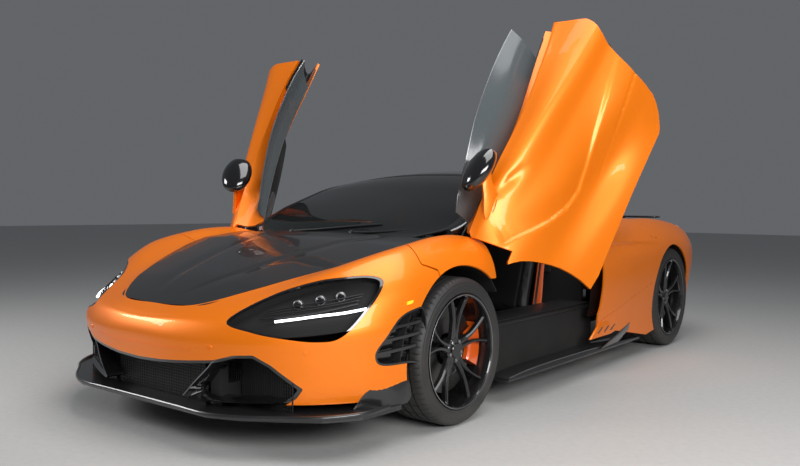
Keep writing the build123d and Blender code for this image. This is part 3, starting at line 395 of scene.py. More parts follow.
def tube(points, radius, count=24, sides=10, closed=False, flat=1.0):
    """Round bar along a smooth curve; flat squeezes its height."""
    path = through(points, count, closed)
    ahead = np.roll(path, -1, 0) - np.roll(path, 1, 0) if closed else np.gradient(path, axis=0)
    ahead /= np.linalg.norm(ahead, axis=1, keepdims=True)
    up = np.array([0.0, 0.0, 1.0]) if abs(ahead[0][2]) < 0.9 else np.array([0.0, 1.0, 0.0])
    across = np.cross(ahead, up)
    across /= np.linalg.norm(across, axis=1, keepdims=True)
    above = np.cross(across, ahead)
    turn = np.arange(sides) * 2 * pi / sides
    rings = path[:, None] + radius * (np.cos(turn)[None, :, None] * across[:, None]
                                      + flat * np.sin(turn)[None, :, None] * above[:, None])
    verts, total = rings.reshape(-1, 3), len(path)
    faces = []
    for i in range(total if closed else total - 1):
        a, b = i * sides, (i + 1) % total * sides
        faces += [(a + k, a + (k + 1) % sides, b + (k + 1) % sides, b + k) for k in range(sides)]
    if not closed:
        faces += [tuple(range(sides))[::-1], tuple(range((total - 1) * sides, total * sides))]
    return outward((verts, faces))


def lathe(profile, place, sides=96, start=0.0, end=360.0, dip=None):
    """Closed profile of (along, radius) pairs turned about a line along X; dip(step, along) lowers it."""
    profile = np.asarray(profile, float)
    full = end - start >= 360
    turn = np.radians(np.linspace(start, end, sides, endpoint=not full))
    along = np.broadcast_to(profile[:, 0], (sides, len(profile)))
    radius = np.broadcast_to(profile[:, 1], (sides, len(profile))).copy()
    if dip is not None:
        radius -= dip(np.arange(sides)[:, None], profile[None, :, 0])
    round_points = np.stack([along, radius * np.cos(turn)[:, None], radius * np.sin(turn)[:, None]], -1)
    n = len(profile)
    faces = []
    for i in range(sides if full else sides - 1):
        a, b = i * n, (i + 1) % sides * n
        faces += [(a + k, a + (k + 1) % n, b + (k + 1) % n, b + k) for k in range(n)]
    if not full:
        faces += [tuple(range(n))[::-1], tuple(range((sides - 1) * n, sides * n))]
    return outward((round_points.reshape(-1, 3) + np.asarray(place, float), faces))


def drum(place, radius, x0, x1, sides=48, soft=2.0):
    """Closed cylinder along X with a rounded rim."""
    return lathe([(x0, 0.01), (x0, radius - soft), (x0 + soft, radius), (x1 - soft, radius),
                  (x1, radius - soft), (x1, 0.01)], place, sides)


def shifted(mesh, x=0.0, y=0.0, z=0.0):
    return mesh[0] + np.array([x, y, z]), mesh[1]


def turned(mesh, axis, degrees, about=(0, 0, 0)):
    """A mesh turned about an axis 'X', 'Y' or 'Z' through a point."""
    turn = np.array(Matrix.Rotation(radians(degrees), 3, axis))
    return (mesh[0] - about) @ turn.T + about, mesh[1]


def both(mesh):
    return join(mesh, mirrored(mesh))


def sunk(mesh, depth):
    """An open surface moved inwards along its own normals."""
    return mesh[0] - corner_normals(*mesh) * depth, mesh[1]


def tray(mesh, depth, lift):
    """Recess under a piece of surface: its floor and its walls, whose tops stand a lift above the surface."""
    verts, faces = mesh
    normals = corner_normals(verts, faces)
    count = len(verts)
    walls = [(i, j, j + count, i + count) for i, j in open_edges(faces)]
    bottom = [tuple(i + count for i in f) for f in faces]
    return np.vstack([verts + normals * lift, verts - normals * depth]), bottom + walls


def press(mesh, line, depths, above, below):
    """Push a surface in along a line of (y, z) points, fading over a reach above and a reach below it."""
    verts, faces = mesh
    line, depths = np.asarray(line, float), np.asarray(depths, float)
    best, depth, high = np.full(len(verts), 1e9), np.zeros(len(verts)), np.zeros(len(verts))
    for a, b, da, db in zip(line, line[1:], depths, depths[1:]):
        ab = b - a
        q = verts[:, 1:] - a
        t = np.clip(q @ ab / (ab @ ab), 0, 1)
        away = q - t[:, None] * ab
        gap = np.linalg.norm(away, axis=1)
        near = gap < best
        best = np.where(near, gap, best)
        depth = np.where(near, da + (db - da) * t, depth)
        high = np.where(near, np.sign(ab[0] * q[:, 1] - ab[1] * q[:, 0]), high)
    reach = np.where(high > 0, above, below)
    push = depth * np.exp(-(best / reach) ** 2)
    return verts - corner_normals(verts, faces) * push[:, None], faces


# ---------------------------------------------------------------- making objects
def mesh_object(name, mesh, material, body, slot=None, replaces=(), crease=32.0):
    """Blender object from millimetre corners, shaded smooth apart from edges sharper than crease."""
    verts, faces = mesh
    data = bpy.data.meshes.new(name)
    data.from_pydata([tuple(v) for v in np.asarray(verts) * MM], [], faces)
    data.validate(clean_customdata=False)
    data.update()
    data.shade_smooth()
    data.set_sharp_from_angle(angle=radians(crease))
    data.materials.append(material)
    obj = bpy.data.objects.new(name, data)
    bpy.context.scene.collection.objects.link(obj)
    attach(obj, body)
    if replaces:
        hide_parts(*replaces)
    return obj


def hinge_matrix(side, degrees):
    """Turn about a door's hinge, in millimetres; side is 1 on the left and -1 on the right."""
    pivot = Vector((side * DOOR_PIVOT[0], DOOR_PIVOT[1], DOOR_PIVOT[2]))
    axis = Vector((DOOR_AXIS[0], side * DOOR_AXIS[1], side * DOOR_AXIS[2])).normalized()
    turn = Matrix.Translation(pivot) @ Matrix.Rotation(radians(degrees), 4, axis) @ Matrix.Translation(-pivot)
    return np.array(turn)


def moved(mesh, matrix):
    return mesh[0] @ matrix[:3, :3].T + matrix[:3, 3], mesh[1]


# ---------------------------------------------------------------- shader groups
def new_group(name, inputs, outputs):
    """Shader group with number sockets, its input node and its output node."""
    tree = bpy.data.node_groups.new(name, "ShaderNodeTree")
    for socket, value in inputs.items():
        made = tree.interface.new_socket(socket, in_out="INPUT", socket_type="NodeSocketFloat")
        made.default_value = value
    for socket in outputs:
        tree.interface.new_socket(socket, in_out="OUTPUT", socket_type="NodeSocketFloat")
    return tree, tree.nodes.new("NodeGroupInput"), tree.nodes.new("NodeGroupOutput")


def add_node(tree, kind, inputs=(), **settings):
    """Shader node whose settings are made before its named inputs are filled."""
    node = tree.nodes.new("ShaderNode" + kind)
    for name, value in settings.items():
        setattr(node, name, value)
    for name, value in dict(inputs).items():
        node.inputs[name].default_value = value
    return node


def wire(tree, *links):
    """Joins sockets; a link is a node, its output, the next node and that one's input."""
    for start, output, end, into in links:
        tree.links.new(start.outputs[output], end.inputs[into])


def fine_grain_group():
    """Small even grain: a bump height and a soft value that shifts roughness."""
    tree, enter, leave = new_group("fine_grain", {"Scale": 400.0, "Low": 0.3, "High": 0.4},
                                   ["Height", "Roughness"])
    coords = add_node(tree, "TexCoord")
    noise = add_node(tree, "TexNoise", {"Detail": 3.0})
    spread = add_node(tree, "MapRange")
    wire(tree, (coords, "Object", noise, "Vector"), (enter, "Scale", noise, "Scale"),
         (noise, "Fac", leave, "Height"), (noise, "Fac", spread, "Value"), (enter, "Low", spread, "To Min"),
         (enter, "High", spread, "To Max"), (spread, "Result", leave, "Roughness"))
    return tree


def road_dust_group():
    """Mask of faint dust that thickens towards the ground."""
    tree, enter, leave = new_group("road_dust", {"Top": 0.5, "Amount": 0.2}, ["Mask"])
    coords = add_node(tree, "TexCoord")
    split = add_node(tree, "SeparateXYZ")
    noise = add_node(tree, "TexNoise", {"Scale": 9.0, "Detail": 5.0})
    fall = add_node(tree, "MapRange", {"To Min": 1.0, "To Max": 0.0})
    patchy = add_node(tree, "Math", operation="MULTIPLY")
    share = add_node(tree, "Math", operation="MULTIPLY")
    wire(tree, (coords, "Object", split, 0), (coords, "Object", noise, "Vector"), (split, "Z", fall, "Value"),
         (enter, "Top", fall, "From Max"), (fall, "Result", patchy, 0), (noise, "Fac", patchy, 1),
         (patchy, 0, share, 0), (enter, "Amount", share, 1), (share, 0, leave, "Mask"))
    return tree


def twill_group():
    """Mask of a carbon twill: diagonal steps of light and dark tows."""
    tree, enter, leave = new_group("twill", {"Scale": 260.0}, ["Mask"])
    coords = add_node(tree, "TexCoord")
    scale = add_node(tree, "VectorMath", operation="SCALE")
    turn = add_node(tree, "Mapping", {"Rotation": (0.0, 0.0, radians(45))})
    warp = add_node(tree, "TexWave", {"Scale": 0.32, "Distortion": 0.6})
    weft = add_node(tree, "TexWave", {"Scale": 0.32}, bands_direction="Y")
    over = add_node(tree, "Math", operation="MULTIPLY")
    wire(tree, (coords, "Object", scale, 0), (enter, "Scale", scale, "Scale"), (scale, 0, turn, "Vector"),
         (turn, 0, warp, "Vector"), (turn, 0, weft, "Vector"), (warp, "Fac", over, 0), (weft, "Fac", over, 1),
         (over, 0, leave, "Mask"))
    return tree


GRAIN, DUST, TWILL = fine_grain_group(), road_dust_group(), twill_group()
GRAIN_HEIGHT = 0.0006                  # metres
DUST_COLOR = (0.30, 0.27, 0.24, 1)


# ---------------------------------------------------------------- materials
def finish_material(name, color, roughness, metallic=0.0, coat=0.0, coat_roughness=0.03, grain=400.0,
                    bump=0.05, spread=0.06, dust=0.0, dust_top=0.5, tint=None, **plain):
    """Principled finish with grain in its roughness and bump, and dust low down; tint varies the colour."""
    mat = bpy.data.materials.new(name)
    mat.use_nodes = True
    tree = mat.node_tree
    shader = tree.nodes["Principled BSDF"]
    uniform = {"Metallic": metallic, "Coat Weight": coat, "Coat Roughness": coat_roughness, **plain}
    for socket, value in uniform.items():
        shader.inputs[socket.replace("_", " ")].default_value = value
    levels = {"Scale": grain, "Low": max(roughness - spread, 0.01), "High": roughness + spread}
    fine = add_node(tree, "Group", levels, node_tree=GRAIN)
    relief = add_node(tree, "Bump", {"Strength": bump, "Distance": GRAIN_HEIGHT})
    shades = {"A": (*color, 1), "B": (*(tint or [c * 0.85 for c in color]), 1)}
    base = add_node(tree, "Mix", shades, data_type="RGBA")
    wire(tree, (fine, "Roughness", shader, "Roughness"), (fine, "Height", relief, "Height"),
         (relief, "Normal", shader, "Normal"), (fine, "Height", base, "Factor"))
    top = base
    if dust:
        road = add_node(tree, "Group", {"Top": dust_top, "Amount": dust}, node_tree=DUST)
        top = add_node(tree, "Mix", {"B": DUST_COLOR}, data_type="RGBA")
        wire(tree, (road, "Mask", top, "Factor"), (base, "Result", top, "A"))
    wire(tree, (top, "Result", shader, "Base Color"))
    return mat


def carbon_material(name, scale, coat, roughness, light):
    """Clear-coated carbon weave; light is the shade of its light tows."""
    mat = finish_material(name, (0.010, 0.010, 0.011), roughness, coat=coat, coat_roughness=0.02, bump=0.02)
    tree = mat.node_tree
    weave = add_node(tree, "Group", {"Scale": scale}, node_tree=TWILL)
    shades = {"A": (0.008, 0.008, 0.009, 1), "B": (light, light, light * 1.05, 1)}
    tows = add_node(tree, "Mix", shades, data_type="RGBA")
    wire(tree, (weave, "Mask", tows, "Factor"), (tows, "Result", tree.nodes["Principled BSDF"], "Base Color"))
    return mat


def glass_material(name, color, clear, roughness=0.03):
    """Tinted glass; clear is the share of light that goes through."""
    return finish_material(name, color, roughness, grain=60.0, bump=0.004, spread=0.008,
                           Transmission_Weight=clear, IOR=1.5)


def glow_material(name, color, strength):
    mat = finish_material(name, color, 0.25, bump=0.01)
    shader = mat.node_tree.nodes["Principled BSDF"]
    shader.inputs["Emission Color"].default_value = (*color, 1)
    shader.inputs["Emission Strength"].default_value = strength
    return mat


PAINT = finish_material("orange_paint", (0.96, 0.195, 0.0002), 0.38, metallic=0.38, coat=0.30, grain=2600.0,
                        bump=0.02, spread=0.05, dust=0.02, dust_top=0.3, tint=(1.0, 0.235, 0.0004))
CARBON = carbon_material("carbon_clearcoat", 420.0, coat=0.55, roughness=0.36, light=0.022)
GLOSS_BLACK = finish_material("gloss_black", (0.006, 0.006, 0.007), 0.14, coat=1.0, grain=900.0, bump=0.01,
                              dust=0.03)
SATIN_BLACK = finish_material("satin_black", (0.010, 0.010, 0.011), 0.42, grain=1400.0, bump=0.12, dust=0.08)
DEEP_BLACK = finish_material("liner_black", (0.005, 0.005, 0.005), 0.85, grain=300.0, bump=0.3, dust=0.1)
GLASS = glass_material("tinted_glass", (0.035, 0.04, 0.04), 0.75)
DARK_GLASS = glass_material("dark_glass", (0.010, 0.011, 0.012), 0.2)
DOOR_GLASS = glass_material("door_glass", (0.13, 0.155, 0.165), 0.35, 0.13)
RUBBER = finish_material("tyre_rubber", (0.016, 0.016, 0.016), 0.58, grain=700.0, bump=0.25, dust=0.15,
                         dust_top=0.7)
RIM_BLACK = finish_material("rim_black", (0.014, 0.014, 0.015), 0.25, metallic=0.4, coat=0.7, grain=1200.0,
                            bump=0.03)
# bright metal for the rims' lip rings and bolts, the door glass's ground edge and the sill's top edge; along
# the intake frames it is a painted highlight
EDGE_METAL_AND_HIGHLIGHT = finish_material("machined_edge_and_painted_highlight", (0.30, 0.30, 0.31), 0.3, metallic=0.9, grain=1800.0,
                           bump=0.05)
CALIPER = finish_material("caliper_orange", (0.80, 0.11, 0.004), 0.32, coat=0.7, grain=800.0, bump=0.06)
IRON = finish_material("disc_iron", (0.15, 0.145, 0.14), 0.36, metallic=1.0, grain=900.0, bump=0.1)
METAL = finish_material("cast_aluminium", (0.36, 0.36, 0.37), 0.45, metallic=1.0, grain=500.0, bump=0.2)
TITANIUM = finish_material("heated_titanium", (0.34, 0.30, 0.28), 0.25, metallic=1.0, grain=600.0, bump=0.05,
                           tint=(0.22, 0.20, 0.30))
LEATHER = finish_material("black_leather", (0.014, 0.013, 0.013), 0.52, grain=900.0, bump=0.35)
CARPET = finish_material("cabin_carpet", (0.010, 0.010, 0.010), 0.95, grain=1500.0, bump=0.9)
TRIM_ORANGE = finish_material("orange_leather", (0.70, 0.10, 0.004), 0.5, grain=900.0, bump=0.35)
SCREEN = finish_material("display_glass", (0.004, 0.005, 0.007), 0.08, coat=1.0, grain=40.0, bump=0.004)
MIRROR_GLASS = finish_material("mirror_glass", (0.55, 0.57, 0.60), 0.03, metallic=1.0, grain=40.0, bump=0.002)
WHITE_LIGHT = glow_material("running_light", (0.93, 0.96, 1.0), 3.2)
AMBER_LIGHT = glow_material("amber_marker", (1.0, 0.22, 0.01), 3.0)
RED_LIGHT = glow_material("tail_lens", (0.75, 0.012, 0.006), 0.9)

# ---------------------------------------------------------------- outlines
# front view (x, z)
LAMP = [(453, 510), (525, 603), (644, 658), (741, 677), (820, 683), (857, 668), (871, 627), (866, 559),
        (842, 481), (810, 445), (761, 441), (684, 452), (565, 474)]
MOUTH = [(-720, 258), (-632, 352), (-575, 389), (-500, 384), (-418, 360), (-285, 347), (-150, 337),
         (0, 332), (150, 337), (285, 347), (418, 360), (500, 384), (575, 389), (632, 352), (720, 258),
         (700, 222), (655, 186), (640, 60), (-640, 60), (-655, 186), (-700, 222)]
RUNNING_LIGHT = [(622, 525), (690, 536), (752, 544), (815, 553), (863, 562)]
# intake frame's front edge (x, y, z)
INTAKE_BLADE = [(268, -2236, 206), (330, -2228, 268), (383, -2212, 322), (418, -2204, 356), (500, -2176, 380),
                (575, -2139, 384), (629, -2101, 350), (720, -2018, 258), (690, -2046, 222), (648, -2082, 206)]
# side view (y, z)
DUCT = [(-1610, 548), (-1686, 520), (-1760, 440), (-1797, 381), (-1781, 340), (-1641, 330), (-1560, 330),
        (-1560, 548)]
DOOR = [(-985, 862), (-950, 700), (-932, 632), (-968, 628), (-1003, 624), (-978, 604), (-948, 572),
        (-916, 524), (-891, 475), (-863, 412), (-846, 359), (-836, 300), (-832, 230), (-838, 145),
        (-560, 176), (-300, 205), (60, 240), (89, 255), (141, 301), (172, 345), (193, 390), (202, 460),
        (206, 542), (222, 654), (240, 748), (262, 815), (300, 890), (268, 975)]
QUARTER_FRONT = [(-300, 60), (60, 232), (95, 247), (147, 294), (178, 338), (199, 387), (208, 460), (212, 542),
                 (228, 652), (336, 735), (336, 1000), (-300, 1000)]
WING_REAR = [(-1100, 300), (-1100, 634), (-1000, 634), (-1000, 950), (-600, 950), (-600, 300)]
QUARTER_FOOT = [(50, 80), (50, 262), (178, 262), (1020, 118), (1020, 80)]
QUARTER_SEAM = [(150, 287), (420, 346), (600, 392), (785, 433), (1010, 480)]
VALLEY = [(-935, 700), (-909, 683), (-873, 666), (-836, 641), (-742, 576), (-670, 531), (-604, 501),
          (-573, 484), (-511, 474), (-460, 468), (-333, 500), (-164, 563), (-39, 602), (56, 633),
          (163, 660), (237, 676)]
VALLEY_DEPTH = [1, 6, 9, 11, 13, 15, 15, 13, 11, 9, 8, 7, 6, 5, 3, 1]
DOOR_CREASE = [(215, 545), (103, 518), (-17, 484), (-136, 447), (-268, 409), (-342, 388)]
CHANNEL_HOLLOW = [(-560, 786), (-640, 808), (-715, 823)]
# plan view (x, y): the front wing's edge behind the nose, the hinge's hole, and the door from above
WING_FRONT = [(1200, -1435), (928, -1435), (896, -1512), (818, -1490), (560, -1400), (560, -600),
              (1200, -600)]
HINGE_NOTCH = [(400, -1022), (830, -1022), (830, -500), (400, -500)]
DOOR_PLAN = [(1100, -1100), (874, -1100), (868, -980), (846, -952), (790, -946), (745, -930), (700, -889),
             (500, -880), (500, 600), (1100, 600)]

SHOULDER = [(300, 752), (400, 743), (640, 744), (995, 735), (1150, 722)]
SHOULDER_DEPTH = (0, 7, 9, 6, 0)
JAMB = [(150, 320), (176, 400), (150, 560), (196, 640), (262, 735), (262, 860), (345, 850), (345, 320)]
FUEL_FLAP = [(1010, 868), (1010, 800), (1080, 770), (1150, 782), (1170, 830), (1120, 872)]
SILL_BLADE = [(77, 205), (210, 290), (330, 300), (641, 258), (520, 228), (361, 206)]
SILL_SLOTS = (170, 262, 354)           # y of each slot's front foot
SILL_FIN = [(207, 132), (430, 190), (662, 245), (631, 200), (480, 146)]
INNER_LINING = [(-900, 640), (-860, 520), (-832, 380), (-818, 200), (-300, 238), (86, 280), (116, 350),
                (130, 575), (255, 720), (236, 800), (-880, 800)]
ARMREST = [(-620, 520), (-560, 610), (-60, 640), (0, 600), (-40, 540), (-560, 480)]
SPEAKER = [(-760, 300), (-740, 430), (-420, 440), (-400, 300)]
CHANNEL_END = [(60, 780), (60, 1000), (300, 1000), (300, 780)]
MIRROR_STALK = [(-872, 806), (-800, 792), (-752, 800), (-700, 880), (-640, 924), (-618, 946), (-660, 948),
                (-730, 920), (-790, 872)]
LAMP_SMOOTH, DUCT_SMOOTH = 90, 60      # points round each rounded outline
LAMP_REAR_Y = -1650.0                  # lamps and mouth lie ahead of these
MOUTH_REAR_Y = -1900.0
DUCT_SIDE_X = 600.0                    # corner ducts lie outboard of this

FRONT_ARCH = round_field(FRONT_AXLE, 380.0)
REAR_ARCH = round_field(REAR_AXLE, 372.0)
SKIN = 9.0                             # thickness of the painted panels
DOOR_SKIN = 14.0
SHUT = 5.0                             # gap round doors and lids
JAMB_DEPTH = 58.0
LINING_DEPTH, LINING_THICK = 19.0, 28.0


def patch(points, u0, u1, v0, v1, du=0.05, dv=0.1, crease=None):
    """Mesh of a body table's surface between two rows and two columns."""
    u = np.linspace(u0, u1, int(round((u1 - u0) / du)) + 1)
    v = np.linspace(v0, v1, int(round((v1 - v0) / dv)) + 1)
    return grid_mesh(surface(points, u, v, crease))


def front_patch(u0, u1, v0, v1, du=0.05, dv=0.1):
    return patch(FRONT_POINTS, NOSE_ROW + u0, NOSE_ROW + u1, v0, v1, du, dv)


def only(field, gate):
    """The field where the gate is positive; everything is kept elsewhere."""
    return lambda verts: np.where(gate(verts) > 0, field(verts), 1e3)


def ring(outline, axes, width):
    """Positive in a narrow band along an outline."""
    edge = outline_field(outline, axes)
    return lambda verts: width / 2 - np.abs(edge(verts))


def near_line(line, width):
    """Positive close to an open line of (y, z) points."""
    line = np.asarray(line, float)

    def field(verts):
        best = np.full(len(verts), 1e9)
        for a, b in zip(line, line[1:]):
            ab, q = b - a, verts[:, 1:] - a
            t = np.clip(q @ ab / (ab @ ab), 0, 1)
            best = np.minimum(best, np.linalg.norm(q - t[:, None] * ab, axis=1))
        return width / 2 - best
    return field


# ---------------------------------------------------------------- painted skins
def nose():
    mesh = front_patch(-7.3, 7.3, 0, 6, 0.05, 0.08)
    duct = outside(outline_field(DUCT, (1, 2), smooth=DUCT_SMOOTH))
    for _, sign in SIDES:
        lamp = outside(outline_field([(sign * x, z) for x, z in LAMP], (0, 2), smooth=LAMP_SMOOTH))
        wing = outside(outline_field([(sign * x, y) for x, y in WING_FRONT], (0, 1), grow=SHUT * 0.5))
        mesh = clip(mesh, only(lamp, beyond(1, LAMP_REAR_Y, -1)), wing,
                    only(duct, beyond(0, sign * DUCT_SIDE_X, sign)))
    mesh = clip(mesh, only(outside(outline_field(MOUTH, (0, 2))), beyond(1, MOUTH_REAR_Y, -1)), FRONT_ARCH)
    mesh_object("nose_skin", thicken(mesh, SKIN), PAINT, "body", "paint", ["nose"])


def front_wing(side, sign):
    wing = clip(front_patch(6.3, 10.0, 2.0, 6, 0.03, 0.05),
                outline_field(WING_FRONT, (0, 1), grow=-SHUT * 0.5), FRONT_ARCH,
                outside(outline_field(DOOR, (1, 2), grow=SHUT)), outside(outline_field(WING_REAR, (1, 2))),
                outside(outline_field(HINGE_NOTCH, (0, 1))))
    mesh_object(f"front_wing_{side}", thicken(on_side(sign)(wing), SKIN), PAINT, "body", "paint",
                [f"fender_{side}"])


def quarter(side, sign):
    put = on_side(sign)
    skin = clip(patch(SIDE_POINTS, 4.0, 9.0, 0, 8, 0.035, 0.06, crease=6), REAR_ARCH,
                outside(outline_field(QUARTER_FRONT, (1, 2))), beyond(1, 178),
                outside(outline_field(QUARTER_FOOT, (1, 2))))
    jamb = clip(patch(SIDE_POINTS, 4.0, 5.2, 1.2, 6.0, 0.06, 0.1), outline_field(JAMB, (1, 2)))
    mesh_object(f"door_jamb_{side}", thicken(put(sunk(jamb, JAMB_DEPTH)), 4.0), GLOSS_BLACK, "body")
    skin = press(skin, SHOULDER, SHOULDER_DEPTH, 6, 55)
    panel = clip(skin, outside(near_line(QUARTER_SEAM, 5.0)))
    mesh_object(f"rear_quarter_{side}", thicken(put(panel), SKIN), PAINT, "body", "paint",
                [f"quarter_{side}"])
    line = clip(skin, ring(through(FUEL_FLAP, 40, closed=True), (1, 2), 3.2), beyond(0, 800))
    mesh_object(f"fuel_flap_line_{side}", put(sunk(line, -0.8)), DEEP_BLACK, "body")
    # painted blade, its black slots and the black fin below it, behind the door
    blade = prism(SILL_BLADE, 0, 929, 944, 3)
    mesh_object(f"sill_blade_{side}", put(blade), PAINT, "body", "paint")
    slots = [prism([(y, 232), (y + 62, 262), (y + 74, 258), (y + 14, 228)], 0, 930, 946, 0)
             for y in SILL_SLOTS]
    fin = prism(SILL_FIN, 0, 938, 947, 2)
    mesh_object(f"sill_fin_{side}", put(join(fin, *slots)), GLOSS_BLACK, "body")


def door_pieces(side, sign):
    """Maker of one door's pieces: each is given on the left, shut, and is placed on its side, open."""
    put, open_up = on_side(sign), hinge_matrix(sign, DOOR_SWING)

    def place(name, mesh, material, slot=None, replaces=(), crease=32.0):
        mesh_object(f"{name}_{side}", moved(put(mesh), open_up), material, f"door_{side}", slot, replaces,
                    crease)
    return place


def door(side, sign):
    place = door_pieces(side, sign)
    skin = clip(patch(SIDE_POINTS, 0, 5.4, 0, 8, 0.028, 0.055, crease=6), outline_field(DOOR, (1, 2)),
                outline_field(DOOR_PLAN, (0, 1)))
    skin = press(skin, VALLEY, VALLEY_DEPTH, 85, 10)
    skin = press(skin, CHANNEL_HOLLOW, (4, 12, 6), 30, 24)
    skin = press(skin, DOOR_CREASE, (3.0, 3.0, 3.0, 2.4, 1.6, 0.4), 5, 5)
    place("door_skin", thicken(skin, DOOR_SKIN), PAINT, "paint", [f"door_{side}"], 26.0)
    door_inside(place)
    door_hinge(place)
    door_mirror(place, side)


def door_inside(place):
    """Lining with its armrest, speaker and pull, the window seal, and painted shade over the air channel's
    end.
    """
    lining = clip(patch(SIDE_POINTS, 1, 5.4, 0.2, 4.6, 0.06, 0.1), outline_field(INNER_LINING, (1, 2)))
    place("door_lining", thicken(sunk(lining, LINING_DEPTH), LINING_THICK), LEATHER, crease=40.0)
    inside = LINING_DEPTH + LINING_THICK
    rest = clip(patch(SIDE_POINTS, 1.4, 4.4, 2.3, 4.2, 0.06, 0.1), outline_field(ARMREST, (1, 2)))
    place("door_armrest", thicken(sunk(rest, inside), 26.0), TRIM_ORANGE)
    net = clip(patch(SIDE_POINTS, 1.2, 3.4, 0.8, 2.2, 0.08, 0.12), outline_field(SPEAKER, (1, 2)))
    place("door_speaker", thicken(sunk(net, inside), 6.0), METAL)
    pull = [(816, -300, 662), (796, -260, 668), (790, -190, 670), (796, -120, 676), (818, -80, 678)]
    place("door_pull", tube(pull, 9, 20), METAL)
    seal = tube([(x - 5, y, z + 1) for x, y, z in SIDE_POINTS[1:6, 8]], 5.0, 60, 8)
    place("window_seal", clip(seal, beyond(1, 236.0, -1)), SATIN_BLACK)
    # thin black sheet lifted over the paint at the channel's rear end: painted shade where the channel opens
    # into its duct
    duct = clip(patch(SIDE_POINTS, 3.3, 5.3, 6.15, 7.7, 0.06, 0.06), outline_field(CHANNEL_END, (1, 2)))
    place("channel_lining", thicken(sunk(duct, -1.2), 1.0), SATIN_BLACK)


def door_hinge(place):
    """Pin on the hinge line, past the pivot, and the arm from it to the door."""
    axis_points = [tuple(np.array(DOOR_PIVOT) + np.array(DOOR_AXIS) * along) for along in (168, 184, 200)]
    pin = tube(axis_points, 15.5, 8, 24)
    arm = tube([axis_points[1], (806, -962, 768), (800, -930, 782), (797, -908, 790)], 9.5, 20, 16, flat=1.3)
    place("door_hinge", join(pin, arm), METAL)


MIRROR_CENTRE, MIRROR_SIZE = (878, -688, 960), (88, 124, 52)


def door_mirror(place, side):
    """Egg-shaped head with a flat glass, on a blade that grows out of the door."""
    head = clip(egg(MIRROR_CENTRE, MIRROR_SIZE), beyond(1, -592, -1))
    place("mirror_head", thicken(head, 3.0), GLOSS_BLACK, None, [f"mirror_{side}"])
    x, _, z = MIRROR_CENTRE
    face = [(x + 53 * cos(a), z + 31.5 * sin(a)) for a in np.linspace(0, 2 * pi, 48, endpoint=False)]
    place("mirror_glass", prism(face, 1, -606, -601, 1.0), MIRROR_GLASS)
    place("mirror_stalk", prism(through(MIRROR_STALK, 46, closed=True), 0, 880, 897, 6.0), PAINT, "paint")
    place("mirror_line", tube([(799, -850, 795), (905, -820, 800), (912, -762, 818)], 1.5, 10, 6), DEEP_BLACK)


def egg(centre, size, rows=40, columns=56):
    lat = np.linspace(-pi / 2 + 0.02, pi / 2 - 0.02, rows)
    lon = np.linspace(0, 2 * pi, columns)
    points = np.stack([np.outer(np.cos(lat), np.cos(lon)), np.outer(np.sin(lat), np.ones(columns)),
                       np.outer(np.cos(lat), np.sin(lon))], -1)
    mesh = grid_mesh(points * np.array(size) + np.array(centre))
    away = ((mesh[0] - centre) * corner_normals(*mesh)).sum()
    return mesh if away > 0 else flip(mesh)


# ---------------------------------------------------------------- bonnet
BONNET_CENTRE = [(-2200, 541), (-2150, 563), (-2071, 598), (-1963, 641), (-1817, 686), (-1656, 730),
                 (-1479, 772), (-1366, 796), (-1130, 822)]


def bonnet():
    edge = [(x, y, z) for x, y, z in BONNET_EDGE if y < BONNET_REAR_Y] + [(674, BONNET_REAR_Y, 808)]
    side = [(x, y) for x, y, z in edge[1:]]
    outline = [(-x, y) for x, y in reversed(side)] + [(0, -2185)] + side
    xs, ys = np.linspace(-720, 720, 121), np.linspace(-2200, BONNET_REAR_Y, 93)
    table = np.array(edge[2:], float)
    half = np.interp(ys, table[:, 1], table[:, 0])
    edge_z = np.interp(ys, table[:, 1], table[:, 2])
    centre = np.array(BONNET_CENTRE, float)
    centre_z = spline(centre[:, 1:], centre[:, 0], ys)[:, 0]
    fall = (centre_z - edge_z) / half ** 2
    fall[ys < -2150] = fall[ys >= -2150][0]
    x, y = np.meshgrid(xs, ys, indexing="ij")
    z = centre_z[None, :] - fall[None, :] * x ** 2
    # two long creases that run back from the tip and spread towards the screen
    line = 60 + 300 * np.clip((ys + 2150) / 1020, 0, 1) ** 0.8
    away = np.abs(x) - line[None, :]
    grown = np.clip((ys[None, :] + 2120) / 250, 0, 1)
    z -= 7.0 * np.exp(-(np.where(away > 0, away / 60, away / 12)) ** 2) * grown
    smooth = [tuple(p) for p in through(outline[1:-1], 160)]
    lid = clip(facing(grid_mesh(np.stack([x, y, z], -1)), 2),
               outline_field([outline[0]] + smooth + [outline[-1]], (0, 1)))
    mesh_object("bonnet_lid", thicken(lid, 6.0), CARBON, "bonnet", "carbon", ["bonnet"])
    rib = tube([(90, -2080, 568), (250, -1700, 670), (330, -1250, 770)], 14, 20, 8, flat=0.5)
    mesh_object("bonnet_ribs", both(rib), SATIN_BLACK, "bonnet")


# ---------------------------------------------------------------- canopy
CANOPY_TABLE = np.array(CANOPY, float)
BELT = SIDE_POINTS[:, 8][:, [1, 0, 2]]
RAIL_IN, RAIL_OUT = 26.0, 2.0
ROOF_POWER = 2.2                       # how late the roof falls towards its rails
PANE_END, PANE_SLANT = 118.0, 0.2      # the door pane's rear edge, at z 1000


def canopy_row(y):
    """Centre height, rail x and rail z of the canopy at one place."""
    return spline(CANOPY_TABLE[:, 1:], CANOPY_TABLE[:, 0], np.atleast_1d(y))[0]


def belt_row(y):
    """Foot of the side glass at one place: x and z."""
    return spline(BELT[:, 1:], BELT[:, 0], [y])[0]


def over_roof(y0, y1, rows, reach, columns=41, lift=0.0):
    """Grid over the canopy's top between two places, to a reach short of the rail line."""
    grid = []
    for y in np.linspace(y0, y1, rows):
        zc, xr, zr = canopy_row(y)
        x = np.linspace(-1, 1, columns) * (xr - reach)
        z = zc - (zc - zr) * (np.abs(x) / xr) ** ROOF_POWER + lift
        grid.append(np.stack([x, np.full(columns, y), z], -1))
    return facing(grid_mesh(np.array(grid)), 2)


